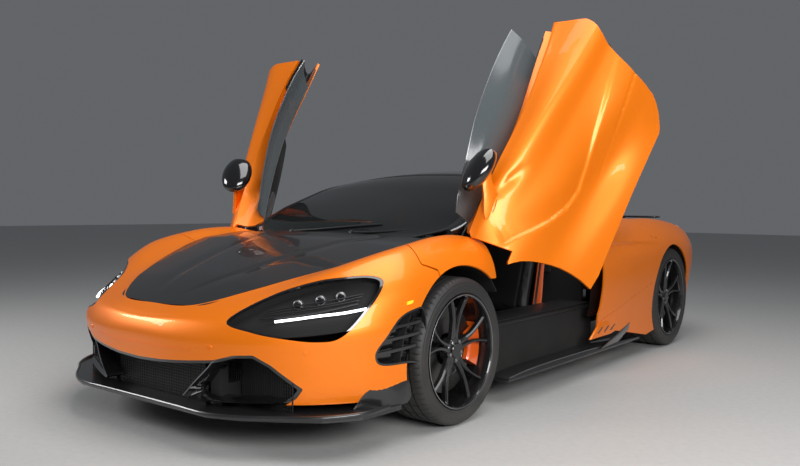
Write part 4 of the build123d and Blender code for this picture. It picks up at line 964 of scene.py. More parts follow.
def side_glass(y0, y1, rows, rail_gap):
    """Bulged pane from the belt up to the rail, on the left."""
    grid = []
    for y in np.linspace(y0, y1, rows):
        zc, xr, zr = canopy_row(y)
        top, foot = np.array([xr + RAIL_OUT + rail_gap + 6, zr - 14]), belt_row(y) - [1, 0]
        bulge = min(18.0, 0.08 * (top[1] - foot[1]))
        middle = ((foot[0] + top[0]) / 2 + bulge, y, (foot[1] + top[1]) / 2)
        grid.append(through([(foot[0], y, foot[1]), middle, (top[0], y, top[1])], 13))
    return facing(grid_mesh(np.array(grid)), 0)


def frit_band(verts):
    """Positive along the windscreen's foot, head and sides."""
    rail = np.array([canopy_row(y)[1] for y in verts[:, 1]])
    return np.max([-1052 - verts[:, 1], verts[:, 1] + 262, np.abs(verts[:, 0]) - (rail - 58)], axis=0)


def windows():
    mesh_object("windscreen_glass", thicken(over_roof(-1088, -205, 40, 25), 5.0), GLASS, "body", "glass",
                ["windscreen"])
    frit = clip(over_roof(-1090, -205, 60, 25, 61, lift=0.8), frit_band)
    mesh_object("windscreen_frit", frit, SATIN_BLACK, "body")
    mesh_object("roof_panel", thicken(over_roof(-200, 296, 24, 25), 12.0), GLOSS_BLACK, "body", "carbon",
                ["roof"])
    rear = thicken(over_roof(302, 1498, 40, 25), 5.0)
    pane = thicken(side_glass(300, 1490, 30, 0.3), 5.0)
    mesh_object("rear_screen", join(rear, pane, mirrored(pane)), DARK_GLASS, "body", "glass", ["rear_glass"])


def engine_louvres():
    louvres = []
    for rear_y in range(700, 1331, 90):
        verts, faces = over_roof(rear_y - 30, rear_y, 3, 60, 31, lift=3.0)
        verts[:, 2] += np.clip((verts[:, 1] - (rear_y - 30)) / 30, 0, 1) * 9 - 1
        louvres.append(thicken((verts, faces), 3.0))
    mesh_object("engine_louvres", join(*louvres), GLOSS_BLACK, "body")


def canopy_rails():
    sections = []
    for y in np.linspace(-985, 1495, 90):
        zc, xr, zr = canopy_row(y)
        inner, outer = xr - RAIL_IN, xr + RAIL_OUT
        inner_z = zc - (zc - zr) * (inner / xr) ** ROOF_POWER
        sections.append([(inner, y, inner_z), ((inner + outer) / 2, y, (inner_z + zr - 6) / 2 + 3),
                         (outer, y, zr - 6), (outer, y, zr - 38), (inner - 3, y, inner_z - 34)])
    rail = swept(sections)
    feet = [block(s * 663 - 20, s * 663 + 20, -979, -946, 790, 838, 6) for s in (1, -1)]
    mesh_object("canopy_rails", join(rail, mirrored(rail), *feet), GLOSS_BLACK, "body", "black_trim",
                ["cabin_frame"])


def door_pane(side, sign):
    """Frameless glass of a door, with a bright ground edge along its top."""
    place = door_pieces(side, sign)
    pane = clip(side_glass(-876, 250, 60, 6.0), lambda v: PANE_END - v[:, 1] + (v[:, 2] - 1000) * PANE_SLANT)
    edge = clip(pane, lambda v: 3.0 - (glass_top(v) - v[:, 2]))
    place("door_pane", thicken(pane, 5.0), DOOR_GLASS, "glass", [f"door_glass_{side}"])
    place("door_pane_edge", thicken(sunk(edge, -0.3), 5.6), EDGE_METAL_AND_HIGHLIGHT)


def glass_top(verts):
    return np.array([canopy_row(y)[2] - 14 for y in verts[:, 1]])


def cowl():
    verts, faces = over_roof(-1124, -1088, 6, 0)
    verts[:, 2] = 806 + (verts[:, 1] + 1124) * 0.12 - np.abs(verts[:, 0] / 640) ** 3 * 14
    mesh_object("cowl_panel", thicken((verts, faces), 8.0), SATIN_BLACK, "body")
    wipers = []
    for line in ([(-320, -1076, 820), (-120, -1050, 836), (120, -1010, 858), (250, -985, 868)],
                 [(120, -1078, 824), (280, -1052, 830), (430, -1010, 842), (520, -985, 846)]):
        x, y, z = line[0]
        blade = [(x, y + 4, z - 4) for x, y, z in line]
        wipers += [tube(line, 6, 24, 8), tube(blade, 3, 24, 6), drum((x, y, z - 2), 14, -9, 9, 20)]
    mesh_object("wipers", join(*wipers), SATIN_BLACK, "body")


# ---------------------------------------------------------------- lamps, mouth and ducts
PROJECTORS = ((640, 600), (706, 615), (768, 622))                   # x, z
SENSORS = ((411, -2221, 412, -70), (737, -2028, 403, -42))          # x, y, z, heading
DUCT_SLATS = (388, 436, 484)                                        # z


def headlamp(side, sign):
    """Deep black socket with its rim, running light, three projectors and fine fins."""
    put = on_side(sign)
    front = front_patch(0.8, 6.2, 3.0, 6, 0.05, 0.05)
    socket = clip(front, outline_field(LAMP, (0, 2), smooth=LAMP_SMOOTH, grow=-0.5),
                  beyond(1, LAMP_REAR_Y, -1))
    mesh_object(f"lamp_socket_{side}", put(tray(socket, 46.0, -2.0)), DEEP_BLACK, "body", "lamp_glass",
                ["headlights"] if sign > 0 else ())
    lip = clip(socket, lambda v: 7.0 - outline_field(LAMP, (0, 2), smooth=LAMP_SMOOTH)(v))
    mesh_object(f"lamp_rim_{side}", put(thicken(sunk(lip, 1.5), 10.0)), GLOSS_BLACK, "body")
    skin = clip(front, outline_field(LAMP, (0, 2), grow=60), beyond(1, LAMP_REAR_Y, -1))
    normals = corner_normals(*skin)

    def under(x, z, depth):
        """Point under the lamp's surface seen from the front, and the surface's outward direction there."""
        k = np.argmin(np.hypot(skin[0][:, 0] - x, skin[0][:, 2] - z))
        return skin[0][k] - normals[k] * depth, normals[k]

    strip = [under(x, z, 19)[0] for x, z in RUNNING_LIGHT]
    mesh_object(f"running_strip_{side}", put(tube(strip, 6.5, 40, 10, flat=0.75)), WHITE_LIGHT, "body")
    housings, lenses = [], []
    for x, z in PROJECTORS:
        seat, way = under(x, z, 38)
        heading = np.degrees(atan2(way[1], way[0]))
        housings.append(shifted(turned(drum((0, 0, 0), 20, -16, 10, 40, 3), "Z", heading), *seat))
        lenses.append(shifted(turned(drum((0, 0, 0), 14.5, 9, 13, 32, 2), "Z", heading), *seat))
    mesh_object(f"lamp_projectors_{side}", put(join(*housings)), METAL, "body")
    mesh_object(f"lamp_lenses_{side}", put(join(*lenses)), SCREEN, "body")
    fins = []
    for k in range(4):
        line = ((560, 535 + 9 * k), (660, 548 + 13 * k), (760, 566 + 14 * k), (835, 585 + 14 * k))
        fins.append(tube([under(x, z, 22)[0] for x, z in line], 3.0, 24, 6))
    mesh_object(f"lamp_fins_{side}", put(join(*fins)), SATIN_BLACK, "body")
    marker = prism([(-1652, 566), (-1612, 571), (-1612, 583), (-1650, 579)], 0, 929, 934.5, 1.5)
    mesh_object(f"side_marker_{side}", put(marker), AMBER_LIGHT, "body")


def corner_duct(side, sign):
    """Slatted air outlet ahead of the front wheel, and the parking sensors round the corner."""
    put = on_side(sign)
    duct = clip(front_patch(3.8, 6.9, 0.4, 4.2, 0.04, 0.05),
                outline_field(DUCT, (1, 2), smooth=DUCT_SMOOTH, grow=-0.5), beyond(0, DUCT_SIDE_X))
    mesh_object(f"corner_duct_{side}", put(tray(duct, 50.0, -1.0)), GLOSS_BLACK, "body")
    slats = []
    for z in DUCT_SLATS:
        band = clip(duct, near_line([(-1790, z - 12), (-1560, z + 10)], 12), beyond(1, -1566, -1))
        slats.append(thicken(sunk(band, 12.0), 16.0))
    edge = clip(duct, lambda v: 8.0 - outline_field(DUCT, (1, 2), smooth=DUCT_SMOOTH)(v))
    slats.append(thicken(sunk(edge, 0.5), 12.0))
    mesh_object(f"corner_duct_slats_{side}", put(join(*slats)), CARBON, "body")
    sensors = [shifted(turned(drum((0, 0, 0), 9, -3, 1.5, 24, 1), "Z", heading), x, y, z)
               for x, y, z, heading in SENSORS]
    mesh_object(f"parking_sensors_{side}", put(join(*sensors)), PAINT, "body")


def mouth():
    walls = clip(front_patch(-4, 4, 0, 3.2, 0.05, 0.08), outline_field(MOUTH, (0, 2), grow=-1.0),
                 beyond(1, MOUTH_REAR_Y, -1))
    edge = clip(walls, lambda v: 12.0 - outline_field(MOUTH, (0, 2))(v), beyond(2, 206))
    mesh_object("mouth_edge", thicken(sunk(edge, 3.0), 60.0), GLOSS_BLACK, "body")
    for side, sign in SIDES:
        mesh_object(f"intake_frame_{side}", on_side(sign)(intake_frame()), GLOSS_BLACK, "body")
    cells = [block(x, x + 3, -2153, -2147, 168, 350, 0) for x in np.arange(-296, 297, 16.0)]
    cells += [block(-298, 298, -2152, -2146, z, z + 3, 0) for z in np.arange(176, 346, 12.0)]
    mesh_object("mouth_mesh", join(*cells), SATIN_BLACK, "body")
    outer = [block(x, x + 2.2, -2052, -2047, 168, 352, 0) for x in np.arange(300, 700, 13.0)]
    outer += [block(300, 690, -2050, -2046, z, z + 2.2, 0) for z in np.arange(176, 350, 13.0)]
    mesh_object("outer_mesh", both(join(*outer)), SATIN_BLACK, "body")
    # metallic strip along each intake frame's front edge: a painted highlight on the glossy black frame
    mesh_object("intake_painted_highlight", both(tube(INTAKE_BLADE[:7], 2.6, 60, 8)), EDGE_METAL_AND_HIGHLIGHT, "body")


def intake_frame():
    """Flat-walled frame round one side's intake, narrower at its inner and rear edges."""
    blade = through(INTAKE_BLADE, 80, closed=True)
    rear = blade + [-10.0, 70.0, 0.0]
    to_centre = blade.mean(0) - blade
    inner = blade + to_centre * 0.13 + [-5.0, 24.0, 0.0]
    inner_rear = rear + to_centre * 0.18
    loops = np.array([blade, rear, inner_rear, inner, blade])
    return outward(grid_mesh(np.concatenate([loops, loops[:, :1]], axis=1)))


SPLITTER_FIN = [(835, -1863, 172), (868, -1812, 238), (928, -1641, 262), (931, -1616, 192)]
SPLITTER_FOOT = [(835, -1863, 166), (860, -1812, 166), (920, -1700, 166), (926, -1641, 166)]
SPLITTER_LIP = [(0, -2254, 160), (220, -2255, 160), (440, -2252, 160), (569, -2204, 161), (713, -2111, 163),
                (829, -2031, 166), (919, -1901, 172), (930, -1760, 176)]


def splitter_fins():
    """Upright fins at the splitter's ends, its rounded lip, and the plain step for a number plate."""
    top, foot = through(SPLITTER_FIN, 20), through(SPLITTER_FOOT, 20)
    sheet = facing(grid_mesh(np.array([foot, (foot + top) / 2 + [4, 0, 0], top]).swapaxes(0, 1)), 0)
    side = join(thicken(sheet, 5.0), tube(SPLITTER_LIP, 7, 80, 10, flat=1.4))
    mesh_object("splitter_fins", both(side), CARBON, "body", "carbon")
    step = clip(front_patch(-3.2, 3.2, 2.42, 2.52, 0.05, 0.05), lambda v: 318 - np.abs(v[:, 0]))
    mesh_object("number_plate_step", thicken(sunk(step, -1.5), 8.0), PAINT, "body")


# ---------------------------------------------------------------- rear
LIGHTS = [(-640, 640), (-600, 790), (0, 800), (600, 790), (640, 640), (420, 560), (-420, 560)]
EXHAUST_X, EXHAUST_Z = 150, 640
HOLE_REACH = 62                        # half the square hole in the mesh round each exhaust
DIFFUSER_PLATE = [(1780, 176), (1780, 190), (2060, 214), (2236, 262), (2240, 250), (2070, 200), (1900, 180)]
DIFFUSER_FIN = [(1860, 186), (1900, 150), (2180, 168), (2244, 222), (2236, 262), (2060, 212)]
WING_PLAN = [(-600, 2044), (-300, 2040), (0, 2040), (300, 2040), (600, 2044), (585, 2160), (552, 2236),
             (300, 2260), (0, 2262), (-300, 2260), (-552, 2236), (-585, 2160)]
DECK_FRONT_Y = 1508.0


def rear_bumper():
    skin = clip(patch(TAIL_POINTS, 1, 9, 0, 6, 0.04, 0.08), outside(outline_field(LIGHTS, (0, 2))))
    mesh_object("rear_bumper_skin", thicken(skin, SKIN), PAINT, "body", "paint", ["rear_bumper"])
    panel = clip(patch(TAIL_POINTS, 1, 9, 3, 5.6, 0.05, 0.08), outline_field(LIGHTS, (0, 2), grow=-1))
    mesh_object("rear_panel", tray(panel, 38.0, -1.0), SATIN_BLACK, "body", "black_trim", ["tail_lights"])
    rear_mesh(panel)
    tail_lights(panel)


def rear_mesh(panel):
    """Wide slats and fine bars across the recessed panel, clear of the exhausts."""
    def clear_of_exhausts(v):
        return np.maximum(np.abs(np.abs(v[:, 0]) - EXHAUST_X) - HOLE_REACH,
                          np.abs(v[:, 2] - EXHAUST_Z) - HOLE_REACH)

    bars = []
    for axis, places, half, depth, thick in ((2, np.arange(585, 790, 17.0), 3.2, 12.0, 10.0),
                                             (0, np.arange(-600, 601, 26.0), 1.6, 15.0, 8.0)):
        for place in places:
            band = clip(panel, lambda v: half - np.abs(v[:, axis] - place), clear_of_exhausts)
            if band[1]:
                bars.append(thicken(sunk(band, depth), thick))
    mesh_object("rear_mesh", join(*bars), SATIN_BLACK, "body")


def tail_lights(panel):
    """A light line along the panel's top and a hook down at its end, on each side."""
    top = clip(panel, lambda v: np.minimum(4.5 - np.abs(v[:, 2] - 778), v[:, 0] - 210))
    hook = clip(panel, lambda v: np.minimum(4.5 - np.abs(v[:, 0] - 606 + (v[:, 2] - 778) * -0.16),
                                            np.minimum(v[:, 2] - 668, 778 - v[:, 2])))
    line = join(thicken(sunk(top, 4.0), 8.0), thicken(sunk(hook, 4.0), 8.0))
    mesh_object("tail_light_lines", both(line), RED_LIGHT, "body")


def exhaust_collars():
    collar = turned(lathe([(0, 56), (8, 60), (14, 58), (16, 52), (10, 50), (0, 50)], (0, 0, 0), 64), "Z", 90)
    rings = [shifted(collar, s * EXHAUST_X, 2236, EXHAUST_Z) for s in (1, -1)]
    mesh_object("exhaust_collars", join(*rings), SATIN_BLACK, "body")


def diffuser():
    plate = prism(DIFFUSER_PLATE, 0, -520, 520, 2)
    fins = [prism(DIFFUSER_FIN, 0, x - 4, x + 4, 2) for x in (-430, -270, -120, 120, 270, 430)]
    mesh_object("diffuser", join(plate, *fins), CARBON, "body", "carbon")


def rear_deck():
    """Crowned deck between the quarters, its louvres, and the fixed wing on its two posts."""
    edges = [(DECK_FRONT_Y, *belt_row(DECK_FRONT_Y))]
    edges += [(y, x, z) for x, y, z in [*SIDE_POINTS[8:10, 8], *TAIL_POINTS[2:5, 6]]]
    table = np.array(edges, float)
    u = np.linspace(-1, 1, 49)
    deck = []
    for y in np.linspace(DECK_FRONT_Y, table[-1, 0], 40):
        x, z = [np.interp(y, table[:, 0], table[:, k]) for k in (1, 2)]
        deck.append(np.stack([u * (x - 0.5), np.full(49, y - 0.5), z - 0.5 + 8 * (1 - u * u)], -1))
    deck = facing(grid_mesh(np.array(deck)), 2)
    mesh_object("rear_deck_panel", thicken(deck, 8.0), CARBON, "body", "carbon", ["rear_deck"])
    vents = [block(-360 + k * 14, 360 - k * 14, 1620 + k * 46, 1650 + k * 46, 886, 893, 3) for k in range(6)]
    vents = [shifted(mesh, 0, 0, 3 - 0.9 * k) for k, mesh in enumerate(vents)]
    mesh_object("deck_louvres", join(*vents), SATIN_BLACK, "body")
    wing = prism(through(WING_PLAN, 72, closed=True), 2, 894, 909.5, 6)
    posts = [block(s * 290 - 38, s * 290 + 38, 2050, 2078, 874, 896, 3) for s in (1, -1)]
    mesh_object("rear_wing_blade", join(wing, *posts), CARBON, "body", "carbon", ["rear_wing"])


# ---------------------------------------------------------------- wheels
def tread_dip(width):
    """Depth of the sipes across a tyre's shoulders and centre blocks."""
    def dip(step, along):
        shoulder = (np.abs(along) > width / 2 - 52) & (np.abs(along) < width / 2 - 15)
        centre = np.abs(along) < width / 2 - 60
        return 5.0 * (shoulder & (step % 6 == 0)) + 3.5 * (centre & (step % 12 == 3))
    return dip


def tyre(width, radius, rim):
    """Closed profile of a grooved tyre as (along, radius) pairs."""
    tall, half = radius - rim, width / 2
    side = [(half - 14, rim - 1), (half - 5, rim + 6), (half - 3, rim + 12), (half - 4, rim + 14),
            (half - 1, rim + tall * 0.3), (half, rim + tall * 0.45), (half - 1, rim + tall * 0.58),
            (half - 2.5, rim + tall * 0.6), (half - 3.5, rim + tall * 0.72), (half - 10, radius - 12),
            (half - 18, radius - 5), (half - 32, radius - 1.5)]
    tread = []
    for g in (half - 58, half * 0.18):
        tread += [(g + 6, radius - 0.4), (g + 5, radius - 7), (g - 5, radius - 7), (g - 6, radius - 0.3)]
    right = side + tread
    return right + [(-a, r) for a, r in reversed(right)]


SPOKES = 5
ARM_PATH = [(0.13, 0.050), (0.34, 0.048), (0.56, 0.078), (0.78, 0.165), (0.955, 0.262)]    # shares of the rim
ARM_SECTION = [(-0.5, -26), (-0.5, -7), (-0.24, 0), (0.24, 0), (0.5, -7),
               (0.5, -26)]      # share of width, depth
ARM_STEPS = 18
CLAMP_ARC = 52                         # degrees of the disc that a brake clamp spans


def spoke_arm(fork, rim, half):
    """One arm of a forked spoke, along Y from the hub; fork is 1 or -1."""
    path = through([(a * rim, fork * b * rim) for a, b in ARM_PATH], ARM_STEPS)
    share = np.linspace(0, 1, ARM_STEPS)
    width = np.interp(share, [0, 0.5, 1], [0.105, 0.062, 0.062]) * rim
    front = np.interp(share, [0, 0.35, 0.8, 1], [half - 46, half - 40, half - 26, half - 20])
    ahead = np.gradient(path, axis=0)
    ahead /= np.linalg.norm(ahead, axis=1, keepdims=True)
    across = np.stack([-ahead[:, 1], ahead[:, 0]], 1)
    return swept([[(x + deep, *(p + c * part * w)) for part, deep in ARM_SECTION]
                  for p, c, w, x in zip(path, across, width, front)])


def wheel(axle, side, sign, half_track, centre, width, radius, rim, disc):
    body, put = f"wheel_{axle}_{side}", on_side(sign)
    place, half = (half_track, *centre), width / 2
    rubber = lathe(tyre(width, radius, rim), place, 420, dip=tread_dip(width))
    mesh_object(f"tyre_{axle}_{side}_tread", put(rubber), RUBBER, body, "tyre", [f"tyre_{axle}_{side}"], 30)
    lip = half - 5
    barrel = [(lip, rim - 1), (lip + 0.5, rim - 7), (lip - 4, rim - 11), (lip - 20, rim - 16),
              (lip - 60, rim - 20), (-half + 22, rim - 22), (-half + 9, rim - 12), (-half + 9, rim - 1)]
    pieces = [lathe(barrel, place, 120), drum(place, 58, half - 95, half - 44, 48, 4),
              drum(place, 33, half - 46, half - 36, 40, 3)]
    bolt = shifted(drum((0, 0, 0), 9, half - 50, half - 38, 6, 1), 0, 44, 0)
    bolts = []
    for k in range(SPOKES):
        turn = 360 / SPOKES * k
        pieces += [shifted(turned(spoke_arm(fork, rim, half), "X", turn + 90), *place) for fork in (1, -1)]
        bolts.append(shifted(turned(bolt, "X", turn + 54), *place))
    mesh_object(f"rim_{axle}_{side}_spokes", put(join(*pieces)), RIM_BLACK, body, "rim",
                [f"rim_{axle}_{side}"], 24)
    edge = lathe([(lip + 0.4, rim - 2.5), (lip + 1.6, rim - 4.5), (lip + 0.4, rim - 7)], place, 120)
    mesh_object(f"rim_{axle}_{side}_edge", put(join(edge, *bolts)), EDGE_METAL_AND_HIGHLIGHT, body, "rim")
    brake(axle, side, sign, place, half - 110, rim, disc)


def brake(axle, side, sign, place, x, rim, disc):
    """Vented disc on the wheel, and its clamp: behind the front disc, and ahead of the rear one."""
    put = on_side(sign)
    rotor = [(x - 15, 72), (x - 15, disc - 1), (x - 14, disc), (x - 4, disc), (x - 3, disc - 6),
             (x + 3, disc - 6), (x + 4, disc), (x + 14, disc), (x + 15, disc - 1), (x + 15, disc - 58),
             (x + 12, disc - 60), (x + 12, 72)]
    mesh_object(f"brake_disc_{axle}_{side}", put(lathe(rotor, place, 96)), IRON, f"wheel_{axle}_{side}")
    section = [(x - 52, disc - 58), (x - 52, rim - 30), (x - 44, rim - 24), (x + 38, rim - 24),
               (x + 48, rim - 32), (x + 49, disc - 52), (x + 42, disc - 60), (x + 22, disc - 60),
               (x + 22, disc + 7), (x - 22, disc + 7), (x - 22, disc - 58)]
    middle = 0 if axle == "front" else 180
    clamp = lathe(section, place, 28, start=middle - CLAMP_ARC / 2, end=middle + CLAMP_ARC / 2)
    if axle == "front":
        body, hides = f"hub_{side}", [f"caliper_{side}"]
    else:
        body, hides = "body", ["rear_calipers"] if sign > 0 else []
    mesh_object(f"brake_caliper_{axle}_{side}", put(clamp), CALIPER, body, "caliper", hides, 24)


# ---------------------------------------------------------------- seats
PAD_VOXEL = 0.009                      # metres
PAD_CAP = 16                           # how far the stuffing may push a point
PAD_FRAMES = 16
SEW_DEPTH, SEW_WIDTH = 0.009, 0.006    # metres
SEAT_X = 350
SEAT_HALF = 206
SEAT_PATH = [(-345, 226), (-150, 214), (60, 214), (160, 240), (215, 420), (262, 620), (318, 786)]     # y, z
BOLSTER_RISE = ([0, 0.15, 0.45, 0.6, 0.85, 1], [10, 60, 86, 96, 92, 30])     # share of the path, height


def cushion(name, size, place, lean, channels):
    """Stuffed pad: a soft box blown up by a short cloth run, with sewn channels pressed in afterwards."""
    sx, sy, sz = size
    outline = [(-sy / 2, -sz / 2), (sy / 2, -sz / 2), (sy / 2, sz / 2), (-sy / 2, sz / 2)]
    verts, faces = softened(prism(outline, 0, -sx / 2, sx / 2, 0), min(sz, sx) * 0.3, 4)
    data = bpy.data.meshes.new(name)
    data.from_pydata([tuple(v) for v in verts * MM], [], faces)
    obj = bpy.data.objects.new(name, data)
    bpy.context.scene.collection.objects.link(obj)
    bpy.context.view_layer.objects.active = obj
    remesh = obj.modifiers.new("even_mesh", "REMESH")
    remesh.mode = "VOXEL"
    remesh.voxel_size = PAD_VOXEL
    settle(obj)
    start = corners(obj)
    cloth = obj.modifiers.new("stuffing", "CLOTH")
    cloth.settings.use_pressure = True
    cloth.settings.uniform_pressure_force = 4.0
    cloth.settings.effector_weights.gravity = 0.0
    for number in range(1, PAD_FRAMES + 1):
        bpy.context.scene.frame_set(number)
    settle(obj)
    moved_by = corners(obj) - start
    length = np.maximum(np.linalg.norm(moved_by, axis=1, keepdims=True), 1e-9)
    verts = start + moved_by * np.minimum(1.0, PAD_CAP * MM / length)
    low, high = verts.min(0), verts.max(0)
    wanted = np.array(size) * MM
    verts = (verts - (low + high) / 2) * (wanted / (high - low))
    for x in channels:
        top = np.clip(verts[:, 2] / (wanted[2] / 2), 0, 1)
        verts[:, 2] -= SEW_DEPTH * top * np.exp(-((verts[:, 0] - x * MM) / SEW_WIDTH) ** 2)
    turn = np.array(Matrix.Rotation(radians(lean), 3, "X"))
    verts = verts @ turn.T + np.array(place) * MM
    obj.data.vertices.foreach_set("co", verts.ravel())
    smooth = obj.modifiers.new("fine", "SUBSURF")
    smooth.levels = smooth.render_levels = 1
    settle(obj)
    obj.data.shade_smooth()
    obj.data.materials.clear()
    obj.data.materials.append(LEATHER)
    bpy.context.scene.frame_set(1)
    return obj


def corners(obj):
    out = np.empty(len(obj.data.vertices) * 3)
    obj.data.vertices.foreach_get("co", out)
    return out.reshape(-1, 3)


def settle(obj):
    """Apply every modifier of an object to its mesh."""
    graph = bpy.context.evaluated_depsgraph_get()
    done = bpy.data.meshes.new_from_object(obj.evaluated_get(graph))
    obj.modifiers.clear()
    obj.data = done


def seat(side, sign):
    """Two leather pads in a carbon shell, with an orange edge on its outer bolster."""
    base = cushion(f"seat_base_{side}", (356, 392, 78), (sign * SEAT_X, -138, 272), 0, (-110, 110))
    back = cushion(f"seat_back_{side}", (340, 470, 74), (sign * SEAT_X, 160, 545), 72, (-105, 105))
    for pad in (base, back):
        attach(pad, "body")
    if sign > 0:
        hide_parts("seat_pads")
    path = through(SEAT_PATH, 40)
    rise = np.interp(np.linspace(0, 1, 40), *BOLSTER_RISE)
    ahead = np.gradient(path, axis=0)
    normal = np.stack([-ahead[:, 1], ahead[:, 0]], 1) / np.linalg.norm(ahead, axis=1, keepdims=True)
    grid = []
    for p, n, height in zip(path, normal, rise):
        row = []
        for u in np.linspace(-1, 1, 21):
            lift = height * max(0.0, (abs(u) - 0.72) / 0.28) ** 1.3
            row.append((sign * SEAT_X + u * SEAT_HALF, *(p + n * lift)))
        grid.append(row)
    shell = facing(grid_mesh(np.array(grid)), 2)
    mesh_object(f"seat_shell_{side}", thicken(shell, 14.0), CARBON, "body", "carbon",
                ["seat_shells"] if sign > 0 else ())
    outer_columns = [17, 18, 19, 20] if sign > 0 else [3, 2, 1, 0]
    trim = facing(grid_mesh(np.array(grid)[:, outer_columns]), 2)
    mesh_object(f"seat_bolster_{side}", thicken(sunk(trim, -5.0), 6.0), TRIM_ORANGE, "body")


# ---------------------------------------------------------------- cabin
STEERING_PLACE, STEERING_LEAN = (370, -520, 700), -68
BELT_PATH = [(505, 296, 640), (520, 250, 560), (540, 190, 380), (548, 120, 250)]


def steering_wheel():
    """Flattened rim, hub, three spokes and the column behind."""
    rim = [(178 * cos(a), 172 * sin(a), 0) for a in np.linspace(0, 2 * pi, 24, endpoint=False)]
    spoke = prism([(-14, -6), (14, -6), (14, 7), (-14, 7)], 0, 36, 168, 4)
    pieces = [tube(rim, 15, 96, 14, closed=True),
              lathe_z([(0.01, 16), (40, 14), (50, 4), (46, -14), (0.01, -16)])]
    pieces += [turned(spoke, "Z", angle) for angle in (0, 180, 270)]
    pieces.append(shifted(turned(drum((0, 0, 0), 28, -10, 120, 32), "Y", 90), 0, 0, -10))
    whole = shifted(turned(join(*pieces), "X", STEERING_LEAN), *STEERING_PLACE)
    mesh_object("steering_wheel_rim", whole, LEATHER, "body", "leather", ["steering_wheel"])


def dashboard():
    """Instrument and centre screens, with the hood and the vents round them."""
    screens = [turned(block(250, 490, -700, -664, 742, 826, 8), "X", -8, (370, -680, 780)),
               turned(block(-80, 80, -660, -636, 560, 760, 8), "X", -12, (0, -650, 660))]
    mesh_object("cabin_screens", join(*screens), SCREEN, "body")
    hood = tube([(238, -712, 800), (300, -716, 838), (370, -718, 848), (440, -716, 838), (502, -712, 800)],
                20, 30, 12, flat=0.5)
    vents = [both(block(x - 46, x + 46, -640, -622, 690, 716, 6)) for x in (160, 520)]
    mesh_object("dash_vents", join(hood, *vents), SATIN_BLACK, "body")


def console():
    body = prism([(-640, 330), (-640, 560), (-560, 500), (-300, 420), (120, 400), (300, 430), (300, 330)],
                 0, -96, 96, 14)
    mesh_object("centre_console", body, LEATHER, "body")
    controls = join(drum((0, -420, 470), 24, -20, 20, 32), block(-56, 56, -330, -210, 434, 446, 5))
    mesh_object("console_controls", controls, METAL, "body")
    glass = tube([(-95, -432, 1044), (0, -440, 1050), (95, -432, 1044)], 27, 24, 16)
    stem = tube([(0, -440, 1060), (0, -420, 1100)], 9, 8, 10)
    mesh_object("cabin_mirror", join(glass, stem), SATIN_BLACK, "body")


def cabin_linings():
    mesh_object("floor_mats", both(block(150, 510, -1000, -360, 143, 154, 4)), CARPET, "body")
    mesh_object("bulkhead_lining", block(-560, 560, 300, 326, 560, 900, 10), CARPET, "body")
    mesh_object("seat_belts", both(tube(BELT_PATH, 22, 30, 10, flat=0.16)), TRIM_ORANGE, "body")


def sills():
    """Covers on the door sills, and the black skirts below with their bright top edge."""
    cover = prism([(-850, 381), (-850, 392), (340, 392), (340, 381)], 0, 612, 812, 4)
    edge = tube([(818, -856, 372), (822, -300, 376), (818, 330, 372)], 9, 40, 10)
    mesh_object("sill_covers", both(join(cover, edge)), SATIN_BLACK, "body")
    line = tube([(934, -830, 134), (937, -620, 148), (938, -17, 150), (937, 180, 146)], 3.2, 60, 8)
    mesh_object("sill_bright_edge", both(line), EDGE_METAL_AND_HIGHLIGHT, "body")
    skirt = prism([(-835, 110), (-835, 132), (-640, 145), (100, 148), (190, 150), (860, 128), (870, 110)],
                  0, 819, 934, 6)
    mesh_object("sill_blades_black", both(skirt), CARBON, "body", "carbon", ["side_skirts"])


def lathe_z(profile):
    """Shape turned about Z; profile is (radius, height) pairs."""
    mesh = lathe([(z, r) for r, z in profile], (0, 0, 0), 48)
    return mesh[0][:, [1, 2, 0]], mesh[1]


# ---------------------------------------------------------------- build
nose()
for side, sign in SIDES:
    front_wing(side, sign)
    quarter(side, sign)
    door(side, sign)
    wheel("front", side, sign, 832, FRONT_AXLE, 245, 327, 254, 195)
    wheel("rear", side, sign, 802, REAR_AXLE, 305, 345.5, 267, 208)
rear_bumper()
exhaust_collars()
diffuser()
rear_deck()
bonnet()
windows()
engine_louvres()
canopy_rails()
for side, sign in SIDES:
    door_pane(side, sign)
cowl()
for side, sign in SIDES:
    headlamp(side, sign)
    corner_duct(side, sign)
mouth()
splitter_fins()
for side, sign in SIDES:
    seat(side, sign)
steering_wheel()
dashboard()
console()
cabin_linings()
sills()

# finishes of the solids that no piece replaces
NODE_FINISH = {
    "splitter": CARBON, "exhausts": TITANIUM, "tub": DEEP_BLACK, "underbody": SATIN_BLACK, "engine": METAL,
    "dashboard": LEATHER, "rear_knuckles": METAL, "suspension_arms": METAL, "knuckle_left": METAL,
    "knuckle_right": METAL, "wheel_liners": DEEP_BLACK, "subframes": SATIN_BLACK, "luggage_bin": CARPET,
    "grilles": DEEP_BLACK,
}
for node, finish in NODE_FINISH.items():
    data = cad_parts[node].data
    data.materials.clear()
    data.materials.append(finish)


# ---------------------------------------------------------------- camera, floor and light
CAMERA_PLACE = (2.834, -4.1415, 0.958)                 # metres
CAMERA_TURNS = (37.58, 2.28, 0.63)                     # yaw, downward pitch and roll, in degrees
PICTURE_WIDTH, FOCAL_LENGTH = 800, 784.6               # both in picture points
SHIFT_X, SHIFT_Y = -5.3, 5.4
SENSOR = 36.0
FLOOR_HALF = 30.0


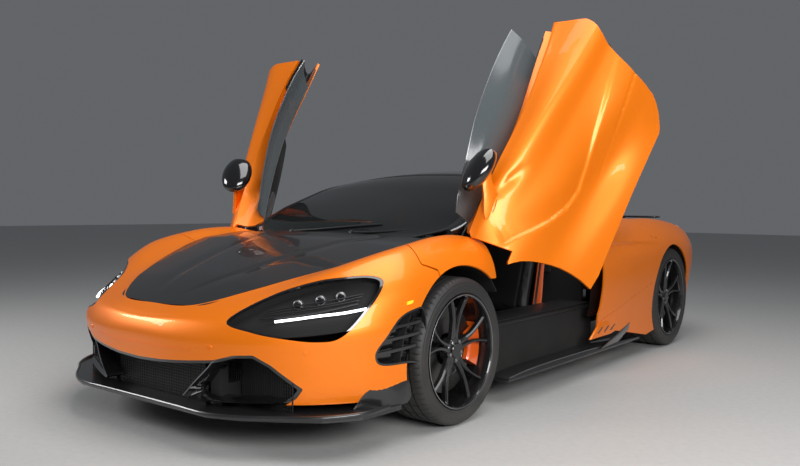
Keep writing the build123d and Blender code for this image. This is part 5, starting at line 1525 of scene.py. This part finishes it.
def camera():
    """At the front corner on the car's left, at waist height, looking slightly down."""
    place = Vector(CAMERA_PLACE)
    yaw, pitch, roll = [radians(turn) for turn in CAMERA_TURNS]
    look = Vector((-sin(yaw) * cos(pitch), cos(yaw) * cos(pitch), -sin(pitch)))
    right = look.cross(Vector((0, 0, 1))).normalized()
    up = right.cross(look)
    rolled_right, rolled_up = right * cos(roll) + up * sin(roll), up * cos(roll) - right * sin(roll)
    data = bpy.data.cameras.new("camera")
    data.sensor_width = SENSOR
    data.sensor_fit = "HORIZONTAL"
    data.lens = FOCAL_LENGTH / PICTURE_WIDTH * SENSOR
    data.shift_x = SHIFT_X / PICTURE_WIDTH
    data.shift_y = SHIFT_Y / PICTURE_WIDTH
    obj = bpy.data.objects.new("camera", data)
    rows = [[rolled_right[i], rolled_up[i], -look[i], place[i]] for i in range(3)] + [[0, 0, 0, 1]]
    obj.matrix_world = Matrix(rows)
    bpy.context.scene.collection.objects.link(obj)
    bpy.context.scene.camera = obj


def floor():
    size = FLOOR_HALF
    data = bpy.data.meshes.new("floor")
    data.from_pydata([(-size, -size, 0), (size, -size, 0), (size, size, 0), (-size, size, 0)], [],
                     [(0, 1, 2, 3)])
    data.materials.append(finish_material("pale_floor", (0.52, 0.52, 0.51), 0.5, grain=30.0, bump=0.02))
    obj = bpy.data.objects.new("floor", data)
    bpy.context.scene.collection.objects.link(obj)


def soft_light(name, place, aim, size, power):
    data = bpy.data.lights.new(name, "AREA")
    data.shape = "RECTANGLE"
    data.size, data.size_y = size
    data.energy = power
    obj = bpy.data.objects.new(name, data)
    obj.location = place
    obj.rotation_euler = (Vector(aim) - Vector(place)).to_track_quat("-Z", "Y").to_euler()
    bpy.context.scene.collection.objects.link(obj)


camera()
floor()
soft_light("key", (4.6, -3.4, 2.2), (0, -0.6, 0.6), (3.4, 1.4), 200)
soft_light("top", (1.6, -0.8, 5.2), (0.3, -0.3, 0), (3.6, 5.0), 220)
soft_light("far_side", (-3.6, -4.4, 2.4), (0, -1.4, 0.5), (1.6, 1.2), 90)
world = bpy.data.worlds.new("world")
world.use_nodes = True
world.node_tree.nodes["Background"].inputs["Color"].default_value = (0.62, 0.65, 0.70, 1)
world.node_tree.nodes["Background"].inputs["Strength"].default_value = 0.20
bpy.context.scene.world = world
bpy.context.scene.view_settings.view_transform = "Standard"
